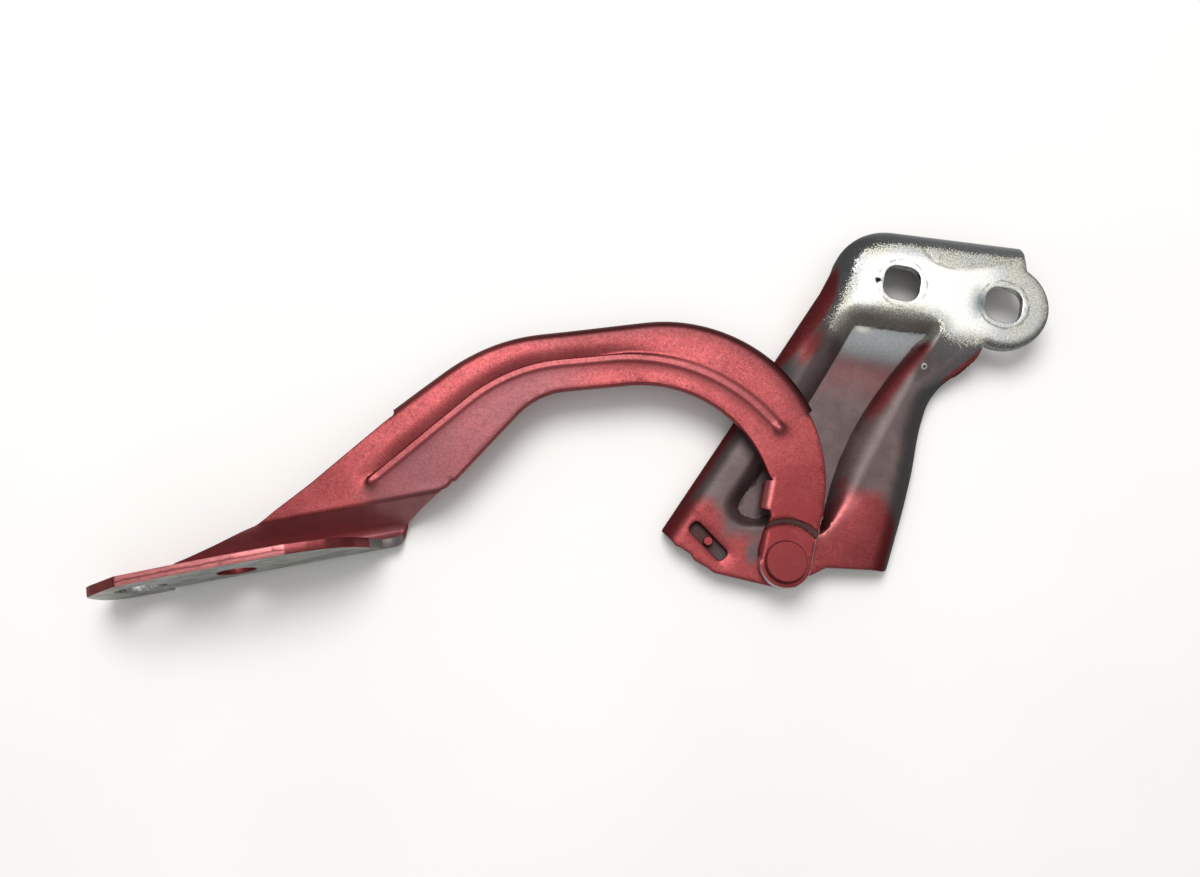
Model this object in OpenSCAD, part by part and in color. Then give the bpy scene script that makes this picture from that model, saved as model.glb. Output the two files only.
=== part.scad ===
// Bonnet hinge: a pressed body bracket and a gooseneck bonnet arm on one riveted pivot.
// Origin: midway between the two body bolt holes, on the bracket's mating face.
// X runs along the two body bolts, Z is the outward normal of the mating face. Millimetres.

/* [Body bolts] */
// distance between the two body bolt holes
bolt_pitch = 37; // [30:0.5:50]
// width of the rounded-square bolt holes
bolt_hole = 13; // [9:0.5:15]
// corner radius of the rounded-square bolt holes
bolt_hole_r = 4; // [2:0.5:6]

/* [Sheet] */
// sheet thickness of the bracket
bracket_t = 3; // [2:0.25:4]
// sheet thickness of the arm
arm_t = 3.5; // [2.5:0.25:5]

/* [Bracket] */
// drop from the mating face to the flat that carries the pivot
pivot_drop = 6; // [4:0.5:10]
// drop from the mating face to the recess floor
recess_drop = 12; // [9:0.5:18]
// lower end of the rolled edges below the mating face
flange_low = 13.5; // [9:0.5:16]
// where the ramp to the mating face starts
ramp_y0 = -31; // [-40:0.5:-26]
// where the ramp to the mating face ends
ramp_y1 = -18; // [-22:0.5:-14]
// radius of the rounded ear around the right-hand bolt hole
ear_r = 16.4; // [14:0.2:20]

/* [Pivot] */
// pivot position along X
pivot_x = -41; // [-60:0.5:-20]
// pivot position along Y
pivot_y = -108.5; // [-130:0.5:-90]
// diameter of the rivet head
head_d = 14; // [12:0.5:18]
// thickness of the rivet head
head_t = 1.8; // [1:0.1:3]
// diameter of the rivet shoulder that the arm turns on
shoulder_d = 9; // [7:0.5:11]
// diameter of the rivet neck in the bracket
neck_d = 7.5; // [6:0.5:9]
// wall of the pivot bush
bush_wall = 1; // [0.75:0.25:1.5]
// thickness of the bush flange under the arm
bush_flange_t = 1; // [0.5:0.1:1.5]
// diameter of the bush flange
bush_flange_d = 17; // [14:0.5:20]
// thickness of the washer under the rivet head
head_washer_t = 0.6; // [0.4:0.1:1]
// thickness of the washer under the rivet tail
tail_washer_t = 1.5; // [1:0.25:2]
// diameter of the washer under the rivet tail
tail_washer_d = 17; // [14:0.5:20]

/* [Arm] */
// radius of the arm's rounded pivot end
arm_end_r = 9; // [8:0.2:12]
// rise of the arm where it steps up beyond the pivot end
joggle = 4; // [2:0.5:6]
// radius of the step around the pivot
joggle_r = 12.8; // [11:0.2:15]
// height of the rolled outer edge, from the top of the arm
lip_h = 7; // [5:0.5:9]
// outside bend radius of the rolled outer edge
lip_r = 4; // [3.75:0.25:6]
// height of the stiffening bead
bead_h = 1.3; // [0.6:0.1:2]
// half width of the stiffening bead
bead_w = 2.8; // [2:0.1:4]
// length of the stop tab, from the top of the arm
tab_h = 10; // [8:0.5:13]

/* [Bonnet flange] */
// direction of the flange in plan, degrees
flange_a = 23.5; // [15:0.5:35]
// height of the flange plate
flange_h = 33; // [28:0.5:42]
// slope of the facet between arm and flange, degrees
facet_a = 64; // [45:1:75]
// inside bend radius at the foot of the flange
fold_r = 2.5; // [2:0.25:5]
// length of the flange to the left of the bend reference
flange_left = 86; // [70:0.5:100]
// length of the flange to the right of the bend reference
flange_right = 14.6; // [8:0.2:25]
// corner radius at the flange's right-hand end
end_r = 30; // [20:0.5:33]
// corner radius at the flange's left-hand tip
tip_r = 24; // [12:0.5:28]
// distance from the tip to the slotted bonnet bolt hole
hole_in = 18; // [14:0.5:24]
// height of the bonnet bolt holes above the foot of the flange
hole_h = 16; // [12:0.5:20]
// diameter of the round bonnet bolt hole
bonnet_hole = 12.5; // [9:0.5:14]
// distance between the two bonnet bolt holes
bonnet_pitch = 32; // [28:0.5:45]
// end-to-end length of the slotted bonnet bolt hole
bonnet_slot = 16.5; // [13:0.5:20]

/* [Peg] */
// diameter of the small locating peg
peg_d = 3.4; // [2.5:0.1:5]
// length of the slot around the peg
peg_slot_l = 16; // [12:0.5:20]
// width of the slot around the peg
peg_slot_w = 4.6; // [4:0.1:7]

/* [Hidden] */
$fn = 72;

P = [pivot_x, pivot_y];
z_flat = -pivot_drop;                         // top of the flat under the pivot
z_floor = -recess_drop;                       // top of the recess floor
z_table = z_floor - bracket_t;                // underside of the recess
arm_z0 = z_flat + bush_flange_t;              // underside of the pivot end
arm_z1 = arm_z0 + arm_t;                      // top of the pivot end
top_z1 = arm_z1 + joggle;                     // top of the main arm
top_z0 = top_z1 - arm_t;                      // underside of the main arm
head_z0 = arm_z1 + head_washer_t + 0.05;      // underside of the rivet head
bush_r = shoulder_d / 2 + bush_wall;          // bore in the arm

// flange frame: x along the flange, y away from the zinc face
F0 = [-194.2, -126];
fold_c = [fold_r * sin(facet_a) + (top_z1 - z_table - arm_t - fold_r + fold_r * cos(facet_a)) / tan(facet_a), z_table + arm_t + fold_r];
plate_in = fold_c[0] + fold_r;                // inner face of the plate
plate_out = plate_in + arm_t;                 // zinc face of the plate
plate_top = z_table + flange_h;               // top edge of the plate
hole_z = z_table + hole_h;                    // height of the bonnet bolt holes
hole_u1 = -flange_left + hole_in;             // slotted hole
hole_u2 = hole_u1 + bonnet_pitch;             // round hole

function arc(c, r, a0, a1, n) = [for (i = [0:n]) let (a = a0 + (a1 - a0) * i / n) [c[0] + r * cos(a), c[1] + r * sin(a)]];
function unit(v) = v / norm(v);
function side(p, i) = let (d = unit(p[min(i + 1, len(p) - 1)] - p[max(i - 1, 0)])) [d[1], -d[0]];
function off(p, w) = [for (i = [0:len(p) - 1]) p[i] + w * side(p, i)];
function band(p, w) = let (q = off(p, w)) concat(p, [for (i = [len(p) - 1:-1:0]) q[i]]);

// ---- bracket outline
left_top = concat([[-84.5, -106.5], [-65, -56.5], [-45.5, -6.5], [-42.5, 4]], arc([-23, 1.5], 20, 165, 95, 7), [[20.5, 25.5]]);
right_edge = [[13.5, -16.5], [13, -20], [9, -25.5], [3.5, -32], [0.5, -38.5], [-1, -50], [-1, -65], [-2, -80], [-4, -100]];
bottom_edge = concat([[-6, -104], [-15, -104.4], [-26, -106.4], [-31.5, -111]], arc(P, 8.6, -20, -100, 6), [[-63.5, -116.8], [-71, -114.2], [-77.5, -110.4], [-82, -109.4]]);
outline = concat(left_top, [[22.3, 23.8], [24, 17.5]], arc([bolt_pitch / 2, 0], ear_r, 58, -105, 20), right_edge, bottom_edge);

// recess, walked clockwise
recess = concat([[-36.8, -20], [-32.5, -14.5], [-28.5, -12.6], [-6, -12.6], [-1.5, -15.5], [-2, -19], [-6, -27], [-12, -45], [-18, -62], [-22, -78], [-25, -90]],
    arc(P, 15.6, 46, 118, 6), arc([-60.5, -93.6], 5, 275, 165, 5));
function ring_off(p, w) = [for (i = [0:len(p) - 1]) let (a = p[(i + len(p) - 1) % len(p)], b = p[(i + 1) % len(p)], d = unit(b - a)) p[i] + w * [-d[1], d[0]]];

module rounded_square(w, r) {
    square([w, w - 2 * r], center = true);
    square([w - 2 * r, w], center = true);
    for (x = [-1, 1], y = [-1, 1]) translate([x * (w / 2 - r), y * (w / 2 - r)]) circle(r);
}
module prism(pts, z0, z1) { translate([0, 0, z0]) linear_extrude(z1 - z0) polygon(pts); }
// side profile swept along X: flat, ramp, mating face
module sweep_x(pts) { translate([-100, 0, 0]) rotate([90, 0, 90]) linear_extrude(150) polygon(pts); }
module top_sheet() {
    sweep_x([[-130, z_flat - bracket_t], [ramp_y0, z_flat - bracket_t], [ramp_y1, -bracket_t], [40, -bracket_t],
        [40, 0], [ramp_y1, 0], [ramp_y0, z_flat], [-130, z_flat]]);
}
module under_top() {
    sweep_x([[-130, -40], [40, -40], [40, 0], [ramp_y1, 0], [ramp_y0, z_flat], [-130, z_flat]]);
}

module body_bracket() color([0.62, 0.2, 0.22]) difference() {
    union() {
        difference() {
            intersection() { top_sheet(); prism(outline, -40, 5); }
            prism(recess, -40, 5);
        }
        intersection() {
            under_top();
            union() {
                prism(band(left_top, bracket_t), -flange_low, 5);
                prism(band(right_edge, bracket_t), -flange_low, 5);
                difference() {
                    prism(ring_off(recess, bracket_t), z_table, 5);
                    prism(recess, z_floor, 6);
                }
            }
        }
        // pressed tray that carries the peg
        translate([-67.8, -106.6, z_flat - bracket_t - 2]) rotate([0, 0, -34]) linear_extrude(3) square([peg_slot_l + 4, peg_slot_w + 4], center = true);
    }
    for (s = [-1, 1]) translate([s * bolt_pitch / 2, 0, -20]) linear_extrude(30) rounded_square(bolt_hole, bolt_hole_r);
    translate([P[0], P[1], -30]) cylinder(d = neck_d, h = 40);
    translate([-67.8, -106.6, z_flat - bracket_t + 0.2]) rotate([0, 0, -34]) linear_extrude(10) {
        square([peg_slot_l - peg_slot_w, peg_slot_w], center = true);
        for (s = [-1, 1]) translate([s * (peg_slot_l - peg_slot_w) / 2, 0]) circle(d = peg_slot_w);
    }
    translate([-67.8, -106.6, -30]) cylinder(d = peg_d - 0.8, h = 30);
}

// ---- arm outline
AC = [-86.5, -88.5];      // centre of the big outer arc
SC = [-119.5, -111];      // centre of the small outer arc
arch_r = 56.5;            // outer radius over the rolled edge
lip_a0 = 37.5;            // rolled edge ends here on the big arc
lip_a1 = 109.6;           // direction of the straight between the two arcs
lip_a2 = 141.2;           // direction of the straight beyond the small arc
function across(a) = [cos(a), sin(a)];
small_r = (AC - SC) * across(lip_a1) + arch_r;   // both arcs touch the same straight
lip_len1 = 23;            // straight of the rolled edge beyond the small arc
bare = 2.3;               // cut edge lies this far inside the rolled edge
IC = [-92.5, -103];       // centre of the inner arc
function on_line(c, r, a, s) = [c[0] + r * cos(a) - s * sin(a), c[1] + r * sin(a) + s * cos(a)];
flat_outline = concat(
    [[-219.3, -136.9], [-205.5, -119], on_line(SC, small_r - bare, lip_a2, lip_len1 - 1.7), on_line(SC, small_r - lip_r - 0.5, lip_a2, lip_len1 - 2.4)],
    arc(SC, small_r - lip_r - 0.5, lip_a2, lip_a1, 8),
    arc(AC, arch_r - lip_r - 0.5, lip_a1, lip_a0 + 2.4, 16),
    arc(AC, arch_r - bare, lip_a0 + 1.7, 1, 9),
    [[-31.6, -92], [-32.2, -99]],
    arc(P, arm_end_r, 8, -188, 20),
    [[-49.8, -98.5], [-49.3, -94.5], [-50.6, -92.8], [-51, -92.4], [-51, -82.5], [-52.6, -81]],
    arc(IC, 45.5, 30, 109, 12),
    arc([-119.7, -91.5], 25.9, 109, 149.8, 6),
    [[-161.2, -111.6], [-162.6, -112.2]]);

// rolled edge: a wall under the arm's outer edge, its bend built in three layers
function lip_path(e) = concat([on_line(SC, small_r, lip_a2, lip_len1 - e)], arc(SC, small_r, lip_a2, lip_a1, 10), arc(AC, arch_r, lip_a1, lip_a0 + e, 22));
function strip(p, w0, w1) = let (a = off(p, w0), b = off(p, w1)) concat(a, [for (i = [len(p) - 1:-1:0]) b[i]]);
function inset(h) = lip_r - sqrt(lip_r * lip_r - h * h);   // of the bend's outside, h above its lower end
module lip() {
    prism(strip(lip_path(0), 0, arm_t), top_z1 - lip_h, top_z1 - 0.5 * lip_r);
    prism(strip(lip_path(0.5), inset(0.62 * lip_r), lip_r + 2), top_z0, top_z1 - 0.2 * lip_r);
    prism(strip(lip_path(1), inset(0.88 * lip_r), lip_r + 2), top_z0, top_z1);
}

BC = [-113, -113.2];      // bead, small arc centre
BD = [-94, -113.9];       // bead, big arc centre
bead_r2 = 65.2;
bead_a0 = 50;             // bead ends here on its big arc
bead_a1 = 108.4;          // direction of the straight between the two arcs
bead_a2 = 144;            // direction of the straight beyond the small arc
bead_len = 41;            // straight beyond the small arc
bead_r1 = (BD - BC) * across(bead_a1) + bead_r2;
bead_path = concat([on_line(BC, bead_r1, bead_a2, bead_len)], arc(BC, bead_r1, bead_a2, bead_a1, 8), arc(BD, bead_r2, bead_a1, bead_a0, 14));
function heading(p, i) = let (d = p[min(i + 1, len(p) - 1)] - p[max(i - 1, 0)]) atan2(d[1], d[0]);
// outline of the bead at half width w, with round ends
function bead_ring(w) = let (p = bead_path, n = len(p) - 1, a0 = heading(p, 0), a1 = heading(p, n)) concat(
    off(p, -w), [for (i = [1:7]) p[n] + w * across(a1 + 90 - i * 22.5)],
    [for (i = [n:-1:0]) off(p, w)[i]], [for (i = [1:7]) p[0] + w * across(a0 - 90 - i * 22.5)]);
module bead() {
    prism(bead_ring(bead_w), top_z1 - 1, top_z1 + 0.35 * bead_h);
    prism(bead_ring(0.75 * bead_w), top_z1 - 1, top_z1 + 0.75 * bead_h);
    prism(bead_ring(0.45 * bead_w), top_z1 - 1, top_z1 + bead_h);
}
module in_flange() { translate([F0[0], F0[1], 0]) rotate([0, 0, flange_a]) children(); }
c1 = [2.5, top_z1 - 4];
c2 = [-fold_c[0], fold_c[1]];
module fold() {
    intersection() {
        translate([-120, 0, 0]) rotate([90, 0, 90]) linear_extrude(240) polygon(concat([[4.5, top_z1]], arc(c1, 4, 90, 90 + facet_a, 6),
            arc(c2, fold_r, facet_a - 90, -180, 10), [[-plate_in, fold_c[1] + 2], [-plate_out, fold_c[1] + 2]],
            arc(c2, fold_r + arm_t, -180, facet_a - 90, 10), arc(c1, 0.5, 90 + facet_a, 90, 2), [[4.5, top_z0]]));
        prism([[-25, 6], [-27.4, 0], [-33, -1.05], [-44.2, -3.2], [-60.5, -5.9], [-63, -7], [-63, -20], [flange_right, -20], [flange_right, -12.6], [18, -9.4], [21.6, -6.6], [27.2, -3.8], [33, -1.3], [35.5, 0.3], [37, 6]], -40, 30);
    }
}
module plate() {
    difference() {
        translate([0, -plate_in, 0]) rotate([90, 0, 0]) linear_extrude(arm_t) difference() {
            polygon(concat([[flange_right, z_table]], arc([flange_right - end_r, plate_top - end_r], end_r, 0, 90, 14),
                arc([-flange_left + tip_r, plate_top - tip_r], tip_r, 90, 180, 12), arc([-flange_left + 9, z_table + 9], 9, 180, 270, 8)));
            translate([-63, z_table - 1]) square([110, fold_c[1] + 1 - z_table]);
        }
        translate([hole_u2, 0, hole_z]) rotate([90, 0, 0]) cylinder(d = bonnet_hole, h = 40);
        translate([hole_u1, 0, hole_z]) rotate([90, 0, 0]) linear_extrude(40) {
            square([bonnet_slot - bonnet_hole, bonnet_hole], center = true);
            for (s = [-1, 1]) translate([s * (bonnet_slot - bonnet_hole) / 2, 0]) circle(d = bonnet_hole);
        }
    }
}

module bonnet_arm() color([0.75, 0.28, 0.3]) difference() {
    union() {
        difference() {
            prism(flat_outline, top_z0, top_z1);
            translate([P[0], P[1], top_z0 - 1]) cylinder(r = joggle_r - 1.2, h = 10);
        }
        intersection() {
            prism(flat_outline, arm_z0, top_z1);
            translate([P[0], P[1], arm_z0]) union() {
                cylinder(r = joggle_r + 1.5, h = arm_t);
                difference() { cylinder(r = joggle_r + 1.5, h = arm_t + joggle); translate([0, 0, arm_t]) cylinder(r = joggle_r - 1.2, h = 20); }
            }
        }
        lip();
        bead();
        in_flange() fold();
        in_flange() plate();
        // stop tab, bent down beside the pivot
        prism([[-53.3, -82.6], [-49.8, -82.6], [-49.8, -92.2], [-53.3, -92.2]], top_z1 - tab_h, top_z1);
    }
    translate([P[0], P[1], -30]) cylinder(r = bush_r, h = 60);
}

module pivot_rivet() color([0.6, 0.2, 0.22]) translate([P[0], P[1], 0]) rotate_extrude() polygon(concat(
    [[0, head_z0 + head_t], [head_d / 2 - 0.3, head_z0 + head_t], [head_d / 2, head_z0 + head_t - 0.3], [head_d / 2, head_z0],
     [shoulder_d / 2, head_z0], [shoulder_d / 2, z_flat], [neck_d / 2, z_flat], [neck_d / 2, z_flat - bracket_t - tail_washer_t],
     [6, z_flat - bracket_t - tail_washer_t], [6, z_flat - bracket_t - tail_washer_t - 1.4], [4.8, z_flat - bracket_t - tail_washer_t - 2.8],
     [2.6, z_flat - bracket_t - tail_washer_t - 3.4], [0, z_flat - bracket_t - tail_washer_t - 3.5]]));
module pivot_bush() color([0.45, 0.4, 0.25]) translate([P[0], P[1], 0]) rotate_extrude() polygon([
    [shoulder_d / 2 + 0.05, z_flat], [bush_flange_d / 2, z_flat], [bush_flange_d / 2, arm_z0], [bush_r, arm_z0], [bush_r, arm_z1 - 0.1], [shoulder_d / 2 + 0.05, arm_z1 - 0.1]]);
module head_washer() color([0.25, 0.24, 0.23]) translate([P[0], P[1], arm_z1]) difference() {
    cylinder(d = head_d + 0.8, h = head_washer_t);
    translate([0, 0, -1]) cylinder(d = shoulder_d, h = 3);
}
module tail_washer() color([0.6, 0.6, 0.58]) translate([P[0], P[1], z_flat - bracket_t - tail_washer_t]) difference() {
    cylinder(d = tail_washer_d, h = tail_washer_t);
    translate([0, 0, -1]) cylinder(d = neck_d, h = 5);
}
module locating_peg() color([0.7, 0.25, 0.27]) translate([-67.8, -106.6, 0]) rotate_extrude() polygon([
    [0, z_flat - 0.6], [peg_d / 2 - 0.3, z_flat - 0.6], [peg_d / 2, z_flat - 0.9], [peg_d / 2, z_flat - bracket_t + 0.2],
    [peg_d / 2 - 0.4, z_flat - bracket_t + 0.2], [peg_d / 2 - 0.4, z_flat - bracket_t - 2.4], [0, z_flat - bracket_t - 2.4]]);

body_bracket();
bonnet_arm();
pivot_rivet();
pivot_bush();
head_washer();
tail_washer();
locating_peg();
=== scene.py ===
"""Bonnet hinge: the looks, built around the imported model. Lengths in the tables below are millimetres in the row frame."""
import math

import bpy
import numpy as np
from mathutils import Matrix, Vector, kdtree
from mathutils.geometry import delaunay_2d_cdt


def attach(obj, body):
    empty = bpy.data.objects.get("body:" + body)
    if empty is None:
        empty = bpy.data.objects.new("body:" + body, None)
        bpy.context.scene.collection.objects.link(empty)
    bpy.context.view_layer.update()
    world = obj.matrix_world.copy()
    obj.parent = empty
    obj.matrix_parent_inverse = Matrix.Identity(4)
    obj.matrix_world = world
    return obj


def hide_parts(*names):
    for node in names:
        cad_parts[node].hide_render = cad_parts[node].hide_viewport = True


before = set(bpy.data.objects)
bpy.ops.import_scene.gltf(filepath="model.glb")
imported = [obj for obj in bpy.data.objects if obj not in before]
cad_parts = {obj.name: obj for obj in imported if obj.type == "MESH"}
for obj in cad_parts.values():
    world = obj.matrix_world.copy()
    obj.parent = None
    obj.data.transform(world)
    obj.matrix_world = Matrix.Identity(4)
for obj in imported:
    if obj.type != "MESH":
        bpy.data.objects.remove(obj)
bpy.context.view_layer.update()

MM = 0.001


# ------------------------------------------------------------------ plane geometry
def arc(c, r, a0, a1, n):
    t = np.radians(np.linspace(a0, a1, n + 1))
    return [(c[0] + r * math.cos(v), c[1] + r * math.sin(v)) for v in t]


def on_line(c, r, a, s):
    a = math.radians(a)
    return (c[0] + r * math.cos(a) - s * math.sin(a), c[1] + r * math.sin(a) + s * math.cos(a))


def fillet(pts, rad, closed=True):
    """Rounds each corner of a polyline. rad is one radius or one per corner."""
    pts = [np.array(p, float) for p in pts]
    n, out = len(pts), []
    for i, p in enumerate(pts):
        r = rad[i] if hasattr(rad, "__len__") else rad
        if r <= 0 or (not closed and i in (0, n - 1)):
            out.append(p)
            continue
        a, b = pts[i - 1] - p, pts[(i + 1) % n] - p
        la, lb = np.linalg.norm(a), np.linalg.norm(b)
        ua, ub = a / la, b / lb
        ang = math.acos(max(-1.0, min(1.0, float(ua @ ub))))
        if ang > math.pi - 0.01 or ang < 0.05:
            out.append(p)
            continue
        d = min(r / math.tan(ang / 2), 0.49 * la, 0.49 * lb)
        rr = d * math.tan(ang / 2)
        bis = (ua + ub) / np.linalg.norm(ua + ub)
        c = p + bis * rr / math.sin(ang / 2)
        p0, p1 = p + ua * d - c, p + ub * d - c
        a0, a1 = math.atan2(p0[1], p0[0]), math.atan2(p1[1], p1[0])
        da = (a1 - a0 + math.pi) % (2 * math.pi) - math.pi
        k = max(2, int(abs(da) / math.radians(7)))
        out += [c + rr * np.array((math.cos(a0 + da * j / k), math.sin(a0 + da * j / k))) for j in range(k + 1)]
    return np.array(out)


def dense(pts, step, closed=True):
    pts = np.asarray(pts, float)
    out, n = [], len(pts)
    for i in range(n if closed else n - 1):
        a, b = pts[i], pts[(i + 1) % n]
        length = np.linalg.norm(b - a)
        if length < 1e-6:
            continue
        k = max(1, int(round(length / step)))
        out += [a + (b - a) * j / k for j in range(k)]
    if not closed:
        out.append(pts[-1])
    return np.array(out)


def even(pts, step, closed=True):
    """Points an equal step apart along a polyline, with its sharp corners kept."""
    pts = dense(pts, 1e9, closed)
    n, keep = len(pts), [0]
    for i in range(1, n if closed else n - 1):
        a, b = pts[i] - pts[i - 1], pts[(i + 1) % n] - pts[i]
        if abs(math.atan2(a[0] * b[1] - a[1] * b[0], float(a @ b))) > 0.33:
            keep.append(i)
    ends = keep + ([n] if closed else [n - 1])
    out = []
    for i, j in zip(ends[:-1], ends[1:]):
        run = np.array([pts[k % n] for k in range(i, j + 1)])
        seg = np.linalg.norm(np.diff(run, axis=0), axis=1)
        cum = np.concatenate([[0], np.cumsum(seg)])
        k = max(1, int(round(cum[-1] / step)))
        at = np.linspace(0, cum[-1], k + 1)[:-1]
        out.append(np.stack([np.interp(at, cum, run[:, 0]), np.interp(at, cum, run[:, 1])], 1))
    if not closed:
        out.append(pts[-1:])
    return np.concatenate(out)


def nearest(P, L, closed=False):
    """For each point: distance to the polyline, foot, place along it, side (left positive), and whether it lies beyond an end."""
    L = np.asarray(L, float)
    A, B = (L, np.roll(L, -1, 0)) if closed else (L[:-1], L[1:])
    D = B - A
    l2 = np.maximum((D ** 2).sum(1), 1e-12)
    cum = np.concatenate([[0], np.cumsum(np.sqrt(l2))])
    dist, foot, along, side, over = [], [], [], [], []
    for k in range(0, len(P), 3000):
        p = P[k:k + 3000]
        W = p[:, None, :] - A[None]
        raw = (W * D[None]).sum(2) / l2[None]
        t = np.clip(raw, 0, 1)
        d2 = ((W - t[..., None] * D[None]) ** 2).sum(2)
        j = d2.argmin(1)
        r = np.arange(len(p))
        f = A[j] + t[r, j][:, None] * D[j]
        dist.append(np.sqrt(d2[r, j]))
        foot.append(f)
        along.append(cum[j] + t[r, j] * np.sqrt(l2[j]))
        v = p - f
        side.append(np.sign(D[j][:, 0] * v[:, 1] - D[j][:, 1] * v[:, 0]))
        if closed:
            over.append(np.zeros(len(p)))
        else:
            ln = np.sqrt(l2)
            over.append(np.where((j == 0) & (raw[r, j] < 0), raw[r, j] * ln[0], np.where((j == len(D) - 1) & (raw[r, j] > 1), (raw[r, j] - 1) * ln[-1], 0)))
    return np.concatenate(dist), np.concatenate(foot), np.concatenate(along), np.concatenate(side), np.concatenate(over)


def inside(P, loops):
    """Even-odd test against all the loops together."""
    odd = np.zeros(len(P), bool)
    for L in loops:
        A, B = L, np.roll(L, -1, 0)
        for k in range(0, len(P), 4000):
            p = P[k:k + 4000]
            up = (A[None, :, 1] > p[:, None, 1]) != (B[None, :, 1] > p[:, None, 1])
            dy = np.where(np.abs(B[:, 1] - A[:, 1]) < 1e-12, 1e-12, B[:, 1] - A[:, 1])
            x = A[None, :, 0] + (p[:, None, 1] - A[None, :, 1]) * ((B[:, 0] - A[:, 0]) / dy)[None]
            odd[k:k + 4000] ^= (np.count_nonzero(up & (p[:, None, 0] < x), axis=1) % 2).astype(bool)
    return odd


def smooth(a, b, x):
    t = np.clip((x - a) / (b - a), 0, 1)
    return t * t * (3 - 2 * t)


def hump(x, w):
    return np.exp(-(x / w) ** 2)


def area(L):
    return 0.5 * np.sum(L[:, 0] * np.roll(L[:, 1], -1) - np.roll(L[:, 0], -1) * L[:, 1])


def outward(L):
    d0, d1 = L - np.roll(L, 1, 0), np.roll(L, -1, 0) - L
    n0, n1 = np.stack([d0[:, 1], -d0[:, 0]], 1), np.stack([d1[:, 1], -d1[:, 0]], 1)
    n0 /= np.linalg.norm(n0, axis=1)[:, None]
    n1 /= np.linalg.norm(n1, axis=1)[:, None]
    n = n0 + n1
    n /= np.maximum(np.linalg.norm(n, axis=1), 1e-9)[:, None]
    return n / np.maximum((n * n0).sum(1), 0.6)[:, None]


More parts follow.
